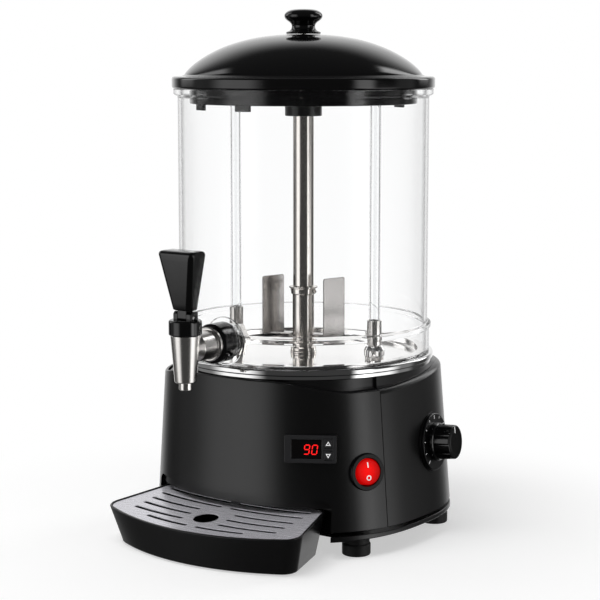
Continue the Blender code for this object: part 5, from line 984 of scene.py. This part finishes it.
def make_lid():
    foot = low("lid_dome").z
    band_top = foot + 0.0112
    radius = radius_of("lid_dome")
    dome_edge = band_top + 0.0021
    dome_radius = 0.115
    dome_top = high("lid_dome").z
    rise = dome_top - dome_edge
    fullness = 2.4
    hole = 0.0033
    wall = 0.0025

    def dome(at, drop=0):
        return dome_edge + rise * (1 - (at / dome_radius) ** fullness) ** (1 / DOME_SQUARE) - drop

    steps = 56
    spread_out = [math.sin(math.pi / 2 * i / steps) for i in range(steps)]
    profile = [(hole + (dome_radius - hole) * share, dome(hole + (dome_radius - hole) * share))
               for share in spread_out]
    profile += [
        (dome_radius, dome_edge), (dome_radius + 0.003, band_top + 0.0006, 0.002),
        (radius, band_top, 0.0026), (radius, foot, 0.0022), (0.113, foot, 0.0003)]
    inner = [0.018 + (dome_radius - wall - 0.018) * share for share in reversed(spread_out)]
    profile += [(at, max(dome(at, wall), foot)) for at in inner]
    profile.append((hole, profile[-1][1]))
    shell = lathe("lid_cover", profile, AXIS, 256)
    dress(shell, "gloss_black", "lid", "lid_dome")
    spigot_radius = 0.1105
    rim = foot + 0.003
    drop = foot - 0.0145
    inner = spigot_radius - 0.0032
    spigot = lathe("lid_ring", [
        (inner, rim), (0.1127, rim), (0.1127, foot), (spigot_radius, foot), (spigot_radius, drop, 0.0008),
        (inner, drop, 0.0008)], AXIS, 192)
    lugs = []
    for turn in (-28, 4, 152):
        reach = spigot_radius - 0.0024
        lugs.append(slab("lug", (0.016, 0.0032, 0.0055 + 0.00275), 0.0006,
                         (0, -reach, drop - 0.0055 / 2 + 0.00275 / 2),
                         Matrix.Translation(AXIS) @ rotation("Z", math.radians(turn))))
    combine(spigot, "UNION", *lugs)
    dress(spigot, "gloss_black", "lid", "lid_spigot")
    top, hub_foot = high("lid_hub").z, low("lid_hub").z
    hub = lathe("lid_boss", [
        (0.0108, hub_foot, 0.0003), (0.018, hub_foot, 0.0007), (0.018, top), (0.0033, top), (0.0033, top - 0.009),
        (0.015, top - 0.009), (0.015, hub_foot + 0.0139), (0.0033, hub_foot + 0.0139),
        (0.0033, hub_foot + 0.0119), (0.0108, hub_foot + 0.0119)], AXIS, MIDDLE)
    dress(hub, "black_moulding", "lid", "lid_hub")
    make_knob()


def make_knob():
    foot, top = low("lid_knob").z, high("lid_knob").z
    radius = radius_of("lid_knob")
    height = top - foot
    shares = ((0, 1.0), (0.25, 0.997), (0.5, 0.985), (0.68, 0.96), (0.82, 0.915), (0.93, 0.85), (0.985, 0.79),
              (1.0, 0.73), (0.985, 0.66), (0.93, 0.59), (0.84, 0.53), (0.74, 0.48), (0.66, 0.42), (0.615, 0.35),
              (0.61, 0.29), (0.63, 0.22), (0.68, 0.16), (0.76, 0.115), (0.86, 0.09), (0.915, 0.06), (0.90, 0.015),
              (0.87, 0))
    profile = [(radius * r, foot + height * h) for r, h in shares]
    profile += [(0.0033, foot), (0.0033, foot + 0.0133), (0, foot + 0.0133)]
    knob = lathe("knob", profile, AXIS, 128)
    dress(knob, "gloss_black", "lid", "lid_knob")


# Tray
TRAY_SLOPE = math.radians(6.3)
TRAY_FRONT = 0.197
TRAY_BACK = 0.0955
TRAY_BACK_HEIGHT = 0.0455


def tray_plane(y, drop=0):
    return TRAY_BACK_HEIGHT + (y + TRAY_BACK) * math.tan(TRAY_SLOPE) - drop


def tray_outline(inset=0, flare=0.0):
    """The tray's plan: a straight back, flared sides and a bowed front, as arcs and their tangents."""
    front = TRAY_FRONT - 0.006 * flare
    corner_radius, back_radius = 0.015, 0.008
    corner = Vector((0.095 - 0.010 * flare, -(0.161 - 0.006 * flare)))
    back = Vector((0.0945 - 0.010 * flare - back_radius, -TRAY_BACK - back_radius))
    ahead = front + corner.y
    bow = (corner.x ** 2 + ahead ** 2 - corner_radius ** 2) / (2 * (ahead - corner_radius))
    bow_centre = Vector((0, bow - front))
    bow_end = math.atan2(corner.x, bow_centre.y - corner.y)
    span = corner - back
    side = math.atan2(span.x, -span.y) + math.asin((corner_radius - back_radius) / span.length)
    side_turn = math.pi / 2 + side
    half = []
    for centre, radius, start, end, steps in (
            (bow_centre, bow, 0, bow_end, 24), (corner, corner_radius, bow_end, side_turn, 14),
            (back, back_radius, side_turn, math.pi, 10)):
        for i in range(0 if radius == bow else 1, steps + 1):
            turn = start + (end - start) * i / steps
            reach = max(radius - inset, 0.0006)
            half.append((centre.x + reach * math.sin(turn), centre.y - reach * math.cos(turn)))
    return half + [(-x, y) for x, y in reversed(half[1:])]


def make_tray():
    """The flared basin, its rim rounded, with the ledge that carries the grid."""
    foot = 0.001

    def level(inset, z, flare):
        """A ring; z may be a height or a drop below the rim's plane, as a pair of how much of each."""
        return [AXIS + Vector((x, y, z(y))) for x, y in tray_outline(inset, flare)]

    def flat(z):
        return lambda y: z

    def below(drop):
        return lambda y: tray_plane(y, drop)

    def blended(drop, z, share):
        return lambda y: tray_plane(y, drop) * (1 - share) + z * share

    rim, ledge, depth = 0.0022, 0.003, 0.0024
    rings = [level(0.0049, flat(foot + 0.0025), 1)]
    rings.append(level(0.0036, flat(foot + 0.0040), 0.97))
    rings.append(level(rim + ledge, below(depth + ledge), 0))
    rings.append(level(rim + ledge, below(depth + 0.0003), 0))
    rings.append(level(rim + ledge - 0.0003, below(depth), 0))
    rings.append(level(rim, below(depth), 0))
    for i in range(5):
        angle = math.pi / 2 * i / 4
        rings.append(level(rim - 0.0006 * (1 - math.cos(angle)), below(0.0006 * (1 - math.sin(angle))), 0))
    for i in range(6):
        angle = math.pi / 2 * i / 5
        rings.append(level(0.0009 * (1 - math.sin(angle)), below(0.0009 * (1 - math.cos(angle))), 0))
    for i in range(1, 12):
        share = i / 12
        rings.append(level(0, blended(0.0009, foot + 0.0025, share), share))
    for i in range(6):
        angle = math.pi / 2 * i / 5
        rings.append(level(0.0025 * (1 - math.cos(angle)), flat(foot + 0.0025 * (1 - math.sin(angle))), 1))
    tray = loft("tray_basin", rings)
    tongues = [slab("tongue", (0.014, 0.0090 + 0.0012, 0.0035), 0.0004,
                    AXIS + Vector((side * 0.055, -TRAY_BACK + 0.0039, 0.02900 + 0.00175)))
               for side in (-1, 1)]
    combine(tray, "UNION", *tongues)
    dress(tray, "tray_black", "tray", "drip_tray")


def slot_outline(side, row):
    """One drain slot: a bowed bar with round ends."""
    inner = 0.0225 if 2 <= row <= 4 else 0.007
    outer = 0.054 if row == 5 else 0.081
    y = -0.114 - row * 0.0132
    half = 0.0021
    length = outer - inner
    lift = length * 0.1
    steps = 16

    def middle_line(share):
        return Vector((inner + length * share, y + lift * share ** 2))

    outline = []
    for k in range(9):
        angle = math.pi / 2 + math.pi * k / 8
        outline.append(middle_line(0) + Vector((math.cos(angle), math.sin(angle))) * half)
    for k in range(1, steps):
        outline.append(middle_line(k / steps) - Vector((0, half)))
    for k in range(9):
        angle = -math.pi / 2 + math.pi * k / 8
        outline.append(middle_line(1) + Vector((math.cos(angle), math.sin(angle))) * half)
    for k in range(steps - 1, 0, -1):
        outline.append(middle_line(k / steps) + Vector((0, half)))
    return [(side * x, place) for x, place in outline]


def make_grid():
    """The slotted steel plate on the tray's ledge."""
    slope = math.cos(TRAY_SLOPE)
    thickness, edge = 0.0012, 0.0005

    def laid(points):
        return [(x, (y + TRAY_BACK) / slope) for x, y in points]

    outlines = [laid(tray_outline(0.0022 + 0.0004))]
    outlines += [laid(slot_outline(side, row)) for row in range(6) for side in (-1, 1)]
    outlines.append(laid(disc(0.0118, 0, -0.158)))
    lift = TRAY_BACK_HEIGHT - (0.0024 - GAP) / slope + thickness / 2
    place = Matrix.Translation(AXIS + Vector((0, -TRAY_BACK, lift))) @ rotation("X", TRAY_SLOPE)
    grid = sheet_piece("grid_plate", outlines, thickness, edge, place)
    dress(grid, "grid_steel", "grid", "drip_grid")


# Controls
BEZEL_FACE = PAD_PROUD + GAP + 0.002
WINDOW_X = -0.0036


def segment_shapes(width, height, stroke, lit):
    """The lit segments of a seven-segment digit as thin hexagonal bars."""
    half_w, half_h = width / 2, height / 2
    ends = {
        "a": ((-half_w, height / 2 + half_h * 0), (half_w, half_h)), "g": ((-half_w, 0), (half_w, 0)),
        "d": ((-half_w, -half_h), (half_w, -half_h)), "f": ((-half_w, 0), (-half_w, half_h)),
        "b": ((half_w, 0), (half_w, half_h)), "e": ((-half_w, -half_h), (-half_w, 0)),
        "c": ((half_w, -half_h), (half_w, 0))}
    shapes = []
    for key in lit:
        start, end = Vector(ends[key][0]), Vector(ends[key][1])
        along = (end - start).normalized()
        across = Vector((-along.y, along.x)) * stroke / 2
        start, end = start + along * stroke * 0.25, end - along * stroke * 0.25
        tip = along * stroke / 2
        shapes.append([start, start + tip - across, end - tip - across, end, end - tip + across,
                       start + tip + across])
    return shapes


def make_display():
    """Bezel plate with its window and two keys, the lit digits and the keys' marks."""
    back = PAD_PROUD + GAP
    face = BEZEL_FACE
    outlines = [rectangle(BEZEL_WIDTH, BEZEL_HEIGHT, 0.0012), rectangle(0.0281, 0.0181, 0.0006, WINDOW_X, 0)]
    outlines += [rectangle(0.0082, 0.0088, 0.0006, 0.0165, side * 0.0056) for side in (-1, 1)]
    bezel = sheet_piece("display_frame", outlines, face - back, 0.0005,
                        DISPLAY @ Matrix.Translation((0, 0, (face + back) / 2)))
    housing = slab("housing", (HOUSING_WIDTH, HOUSING_HEIGHT, 0.0205), 0, (0, 0, -0.02 + 0.0205 / 2), DISPLAY)
    combine(bezel, "UNION", housing)
    seat = face + 0.0002 - 0.0022
    cutters = [
        slab("recess", (0.0281, 0.0181, 0.01), 0, (WINDOW_X, 0, face - 0.0015 + 0.005), DISPLAY)]
    for side in (-1, 1):
        cutters.append(slab("pocket", (0.0082, 0.0088, 0.01), 0,
                            (0.0165, side * 0.0056, seat - 0.0012 + 0.005), DISPLAY))
    combine(bezel, "DIFFERENCE", *cutters)
    dress(bezel, "grey_bezel", "base", "display_bezel")
    glass = slab("display_glass", (0.0275, 0.0175, 0.0012), 0.0002, (WINDOW_X, 0, face - GAP - 0.0006), DISPLAY)
    dress(glass, "window", "base", "display_window")
    slant = Matrix(((1, math.tan(math.radians(8)), 0, 0), (0, 1, 0, 0), (0, 0, 1, 0), (0, 0, 0, 1)))
    level = face - GAP + 0.0001
    for name, x, lit in (("digit_tens", -0.0032, "abcdfg"), ("digit_units", 0.0040, "abcdef")):
        place = DISPLAY @ Matrix.Translation((x, -0.0002, level)) @ slant
        outlines = segment_shapes(0.0046, 0.0085, 0.00095, lit)
        digit = sheet_piece(name, outlines, 0.0001, 0, place)
        dress(digit, "red_digit", "base")
    for name, node, body, side in (("up", "button_up", "key_up", 1), ("down", "button_down", "key_down", -1)):
        key = slab(name + "_key", (0.0076, 0.0082, 0.0022), 0.0004, (0.0165, side * 0.0056, seat + 0.0011), DISPLAY)
        dress(key, "grey_bezel", body, node)
        size = 0.0024
        outer = [(-size, -size * 0.75), (size, -size * 0.75), (0, size * 0.95)]
        hole = [(x * 0.5, y * 0.5 - size * 0.08) for x, y in outer]
        outlines = [[(x, y * side) for x, y in run] for run in (outer, hole)]
        mark = sheet_piece(name + "_mark", outlines, 0.00008, 0, DISPLAY @ Matrix.Translation(
            (0.0165, side * 0.0056, face + 0.0002 + 0.00003)))
        dress(mark, "white_mark_painted_glow", body)


def make_switch():
    """Round bezel with its barrel, and the red rocker with its two marks."""
    back = PAD_PROUD + GAP
    face = back + 0.002
    bezel = lathe("switch_ring", [
        (0, -0.0208), (0.0133, -0.0208), (0.0133, face, 0.0004), (SWITCH_RADIUS - 0.0006, face, 0.0006),
        (SWITCH_RADIUS, back + 0.0006, 0.0006), (SWITCH_RADIUS, back), (SWITCH_BARREL, back),
        (SWITCH_BARREL, -0.022), (0, -0.022)], None, 128, SWITCH)
    dress(bezel, "rim_black", "base", "switch_bezel")
    half, crest, tilt = 0.0042, 0.0012, math.radians(7)
    axis = SWITCH @ Matrix.Translation((0, 0, face - half))
    radius = 0.0133 - 0.001
    slope = math.atan2(crest, radius)

    def top_height(y):
        return half + crest * (1 - math.sqrt((y / radius) ** 2 + 0.0025)) + crest * 0.05

    def fill(bm):
        steps, rows = 96, []
        inner_rings = 14
        for k in range(inner_rings + 1):
            r = radius * k / inner_rings
            r = min(r, radius)
            row = []
            for i in range(steps):
                turn = math.tau * i / steps
                x, y = r * math.cos(turn), r * math.sin(turn)
                drop = 0.0004 if k == inner_rings else (0.00008 if k == inner_rings - 1 else 0)
                row.append(bm.verts.new((x, y, top_height(y) - drop)))
            rows.append(row)
        foot = [bm.verts.new((radius * math.cos(math.tau * i / steps), radius * math.sin(math.tau * i / steps),
                              -half)) for i in range(steps)]
        rows.append(foot)
        for first, second in zip(rows, rows[1:]):
            for i in range(steps):
                j = (i + 1) % steps
                bm.faces.new((first[i], first[j], second[j], second[i]))
        bm.faces.new(foot)

    tilted = axis @ rotation("X", -tilt)
    rocker = new_object("rocker_red", fill, tilted)
    dress(rocker, "red_lens", "rocker", "switch_rocker")
    for name, y, outlines in (
            ("mark_on", 0.0062, [rectangle(0.0012, 0.0050, 0.0003)]),
            ("mark_off", -0.0058, [disc(0.0025, steps=40), disc(0.0015, steps=40)])):
        lean = -math.copysign(slope, y)
        place = tilted @ Matrix.Translation((0, y, top_height(y) + 0.00008)) @ rotation("X", lean)
        dress(sheet_piece(name, outlines, 0.00016, 0, place), "white_mark_painted_glow", "rocker")


def make_dial():
    """The dial plate with its ticks, and the fluted knob with its pointer."""
    foot = DIAL_PROUD + GAP
    face = foot + 0.002
    plate = lathe("dial_disc", [
        (0.0058, foot), (0.0276, foot, 0.0003), (0.0276, face, 0.0008), (0.0058, face)], None, 128, DIAL)
    dress(plate, "black_moulding", "base", "dial_plate")
    outlines = []
    for k in range(11):
        angle = math.radians(225 - 27 * k)
        long_mark = k % 5 == 0
        inner, outer = (0.0222 if long_mark else 0.0234), 0.0256
        ray = Vector((math.cos(angle), math.sin(angle)))
        side = Vector((-ray.y, ray.x)) * (0.0004 if long_mark else 0.00025)
        outlines.append([ray * inner - side, ray * outer - side, ray * outer + side, ray * inner + side])
    ticks = sheet_piece("dial_ticks", outlines, 0.0001, 0, DIAL @ Matrix.Translation((0, 0, face + 0.00004)))
    dress(ticks, "white_mark_painted_glow", "base")
    knob_foot = face + GAP
    knob_top = knob_foot + 0.0205
    knob = lathe("dial_grip", [
        (0, knob_top - 0.0004), (0.0100, knob_top - 0.0004, 0.006), (0.0140, knob_top, 0.003),
        (0.01640, knob_top, 0.0016), (0.01690, knob_foot + 0.0046, 0.0008), (0.0182, knob_foot + 0.0036, 0.0008),
        (0.0184, knob_foot, 0.0006), (0.0033, knob_foot), (0.0033, knob_foot + 0.0123), (0, knob_foot + 0.0123)],
        None, 144, DIAL)
    flutes = [drum("flute", 0.0022, knob_foot + 0.0046, knob_top + OVERRUN,
                   DIAL @ rotation("Z", math.tau * i / 12) @ Matrix.Translation((0.0181, 0, 0)), 0, 24)
              for i in range(12)]
    combine(knob, "DIFFERENCE", *flutes)
    soften(knob, 0.0004, 2)
    pointer = sheet_piece("pointer", [rectangle(0.0012, 0.006, 0.0003)], 0.0001, 0, DIAL @ Matrix.Translation(
        (0, 0.0118, knob_top + 0.00005)))
    dress(knob, "gloss_black", "thermostat", "thermostat_knob")
    dress(pointer, "white_mark_painted_glow", "thermostat")


def make_gland():
    gland = lathe("cord_bush", [
        (0.0036, 0.0113, 0.0005), (0.0052, 0.0113, 0.0008), (0.0068, 0.0018, 0.0008), (0.0105, 0.0018, 0.0006),
        (0.0105, GAP), (0.0068, GAP), (0.0068, -0.007), (0.0036, -0.007)], None, MIDDLE, GLAND)
    dress(gland, "rubber", "base", "cord_gland")


def dress_inside():
    """Solids inside the base and the column that stay as they are."""
    for name, look in (
            ("water_pan", "polished"), ("heater_element", "steel"), ("motor_bracket", "steel"),
            ("gearmotor", "cast"), ("thermostat_body", "cast"), ("thermostat_shaft", "steel"),
            ("control_board", "board"), ("drive_shaft", "polished"), ("standpipe_nut", "steel"),
            ("shaft_bush", "bronze"), ("agitator_cap", "steel"), ("tap_stem", "steel"), ("knob_stud", "steel")):
        dress_node(name, look)


# Stage
FLOOR_RADIUS = 0.95
FLOOR_GLOW = 0.52


def seen(tree):
    """1 for what the camera sees, straight or through clear plastic, and 0 for light and reflections."""
    path = node_of(tree, "ShaderNodeLightPath")

    def math_node(operation, first, second):
        node = node_of(tree, "ShaderNodeMath", operation=operation)
        for i, value in enumerate((first, second)):
            if isinstance(value, (int, float)):
                node.inputs[i].default_value = value
            else:
                tree.links.new(value, node.inputs[i])
        return node.outputs[0]

    through = math_node("MULTIPLY", path.outputs["Is Transmission Ray"],
                        math_node("LESS_THAN", path.outputs["Glossy Depth"], 0.5))
    through = math_node("MULTIPLY", through, math_node("LESS_THAN", path.outputs["Diffuse Depth"], 0.5))
    return math_node("MAXIMUM", path.outputs["Is Camera Ray"], through)


def bump_between(tree, value, full, empty):
    """1 where a value is under full, fading to 0 at empty."""
    ranged = node_of(tree, "ShaderNodeMapRange", interpolation_type="SMOOTHSTEP")
    for name, number in (("From Min", full), ("From Max", empty), ("To Min", 1.0), ("To Max", 0.0)):
        ranged.inputs[name].default_value = number
    tree.links.new(value, ranged.inputs["Value"])
    return ranged.outputs["Result"]


def maths(tree, operation, *values):
    node = node_of(tree, "ShaderNodeMath", operation=operation)
    for socket, value in zip(node.inputs, values):
        if isinstance(value, (int, float)):
            socket.default_value = value
        else:
            tree.links.new(value, socket)
    return node.outputs[0]


ROOM_LEVEL = 0.06
SOFT_LIGHTS = (
    # turn from the front, half width, fade, elevation of the middle, half height, fade, strength
    (-26, 10, 20, 1, 21, 4, 1.5),
    (89, 4, 9, 5, 18, 6, 2.0),
    (106, 9, 16, -15, 7, 7, 1.6),
    (164, 5, 8, 24, 20, 6, 3.2),
    (-86, 6, 9, 24, 20, 8, 1.7),
    (134, 6, 12, 0, 18, 12, 0.22),
    (-62, 6, 14, 0, 18, 12, 0.2),
    (215, 20, 26, -10, 34, 26, 1.0))


def make_world():
    """White behind the object; for light and reflections a dim room with soft lights around it."""
    world = bpy.data.worlds.new("studio")
    bpy.context.scene.world = world
    world.use_nodes = True
    tree = world.node_tree
    shader = tree.nodes["Background"]
    shader.inputs["Color"].default_value = (1, 1, 1, 1)
    place = node_of(tree, "ShaderNodeTexCoord")
    split = node_of(tree, "ShaderNodeSeparateXYZ")
    tree.links.new(place.outputs["Generated"], split.inputs[0])
    elevation = maths(tree, "ARCSINE", split.outputs["Z"])
    level = ROOM_LEVEL
    for turn, half, fade, middle_height, half_height, height_fade, strength in SOFT_LIGHTS:
        angle = math.radians(turn)
        ahead = node_of(tree, "ShaderNodeVectorMath", operation="DOT_PRODUCT")
        ahead.inputs[1].default_value = (math.sin(angle), -math.cos(angle), 0)
        aside = node_of(tree, "ShaderNodeVectorMath", operation="DOT_PRODUCT")
        aside.inputs[1].default_value = (math.cos(angle), math.sin(angle), 0)
        for node in (ahead, aside):
            tree.links.new(place.outputs["Generated"], node.inputs[0])
        off = maths(tree, "ABSOLUTE", maths(tree, "ARCTAN2", aside.outputs["Value"], ahead.outputs["Value"]))
        across = bump_between(tree, off, math.radians(half), math.radians(half + fade))
        away = maths(tree, "ABSOLUTE", maths(tree, "SUBTRACT", elevation, math.radians(middle_height)))
        up = bump_between(tree, away, math.radians(half_height), math.radians(half_height + height_fade))
        level = maths(tree, "ADD", level, maths(tree, "MULTIPLY", maths(tree, "MULTIPLY", across, up), strength))
    mix = node_of(tree, "ShaderNodeMix", data_type="FLOAT")
    tree.links.new(seen(tree), mix.inputs["Factor"])
    tree.links.new(level, mix.inputs["A"])
    mix.inputs["B"].default_value = 1.0
    tree.links.new(mix.outputs["Result"], shader.inputs["Strength"])


def make_floor():
    """A pale round floor: white to the camera, fading to plain white, and mid grey for light."""

    def fill(bm):
        bmesh.ops.create_circle(bm, cap_ends=True, radius=FLOOR_RADIUS, segments=96)

    floor = new_object("floor", fill, Matrix.Translation((0, 0, -0.0002)))
    material = bpy.data.materials.new("pale_floor")
    material.use_nodes = True
    tree = material.node_tree
    tree.nodes.remove(tree.nodes["Principled BSDF"])
    output = tree.nodes["Material Output"]
    matte = node_of(tree, "ShaderNodeBsdfDiffuse", Color=(0.18, 0.18, 0.18, 1))
    open_air = node_of(tree, "ShaderNodeBsdfTransparent")
    plain = node_of(tree, "ShaderNodeMixShader")
    path = node_of(tree, "ShaderNodeLightPath")
    tree.links.new(path.outputs["Is Glossy Ray"], plain.inputs["Fac"])
    tree.links.new(matte.outputs[0], plain.inputs[1])
    tree.links.new(open_air.outputs[0], plain.inputs[2])
    pale = node_of(tree, "ShaderNodeBsdfDiffuse", Color=(0.62, 0.62, 0.62, 1))
    glow = node_of(tree, "ShaderNodeEmission", Strength=FLOOR_GLOW)
    white = node_of(tree, "ShaderNodeEmission", Strength=1.0)
    both = node_of(tree, "ShaderNodeAddShader")
    place = node_of(tree, "ShaderNodeTexCoord")
    reach = node_of(tree, "ShaderNodeVectorMath", operation="LENGTH")
    tree.links.new(place.outputs["Object"], reach.inputs[0])
    near = bump_between(tree, reach.outputs["Value"], 0.18, 0.46)
    faded = node_of(tree, "ShaderNodeMixShader")
    mix = node_of(tree, "ShaderNodeMixShader")
    tree.links.new(pale.outputs[0], both.inputs[0])
    tree.links.new(glow.outputs[0], both.inputs[1])
    tree.links.new(near, faded.inputs["Fac"])
    tree.links.new(white.outputs[0], faded.inputs[1])
    tree.links.new(both.outputs[0], faded.inputs[2])
    tree.links.new(seen(tree), mix.inputs["Fac"])
    tree.links.new(plain.outputs[0], mix.inputs[1])
    tree.links.new(faded.outputs[0], mix.inputs[2])
    tree.links.new(mix.outputs[0], output.inputs["Surface"])
    floor.data.materials.append(material)


def soft_box(name, turn, distance, height, size, radiance, aim=0.25):
    """An area lamp round the object; turn 0 is the front, positive to the right."""
    light = bpy.data.lights.new(name, "AREA")
    light.shape = "RECTANGLE"
    light.size, light.size_y = size
    light.energy = radiance * math.pi * size[0] * size[1]
    obj = bpy.data.objects.new(name, light)
    bpy.context.scene.collection.objects.link(obj)
    angle = math.radians(turn)
    obj.location = (distance * math.sin(angle), -distance * math.cos(angle), height)
    direction = Vector((0, 0, aim)) - obj.location
    obj.rotation_euler = direction.to_track_quat("-Z", "Y").to_euler()
    obj.visible_camera = False
    obj.visible_glossy = False


def make_lights():
    soft_box("top_front", -5, 0.75, 1.75, (1.3, 1.0), 4.5)


def make_camera():
    camera = bpy.data.cameras.new("camera")
    camera.lens = 105
    camera.sensor_width = 36
    obj = bpy.data.objects.new("camera", camera)
    bpy.context.scene.collection.objects.link(obj)
    obj.location = (0.96893, -1.372179, 0.464)
    obj.rotation_euler = (math.radians(82), 0, math.radians(35))
    bpy.context.scene.camera = obj


make_front_shell()
make_rear_shell()
make_plinth()
make_feet()
make_recess()
make_seat()
make_tank()
make_tank_floor()
make_column()
make_paddles()
make_tubes()
make_tap_fixings()
make_tap_body()
make_tap_cap()
make_handle()
make_lid()
make_tray()
make_grid()
make_display()
make_switch()
make_dial()
make_gland()
dress_inside()
make_world()
make_floor()
make_lights()
make_camera()
bpy.context.scene.view_settings.view_transform = "Standard"
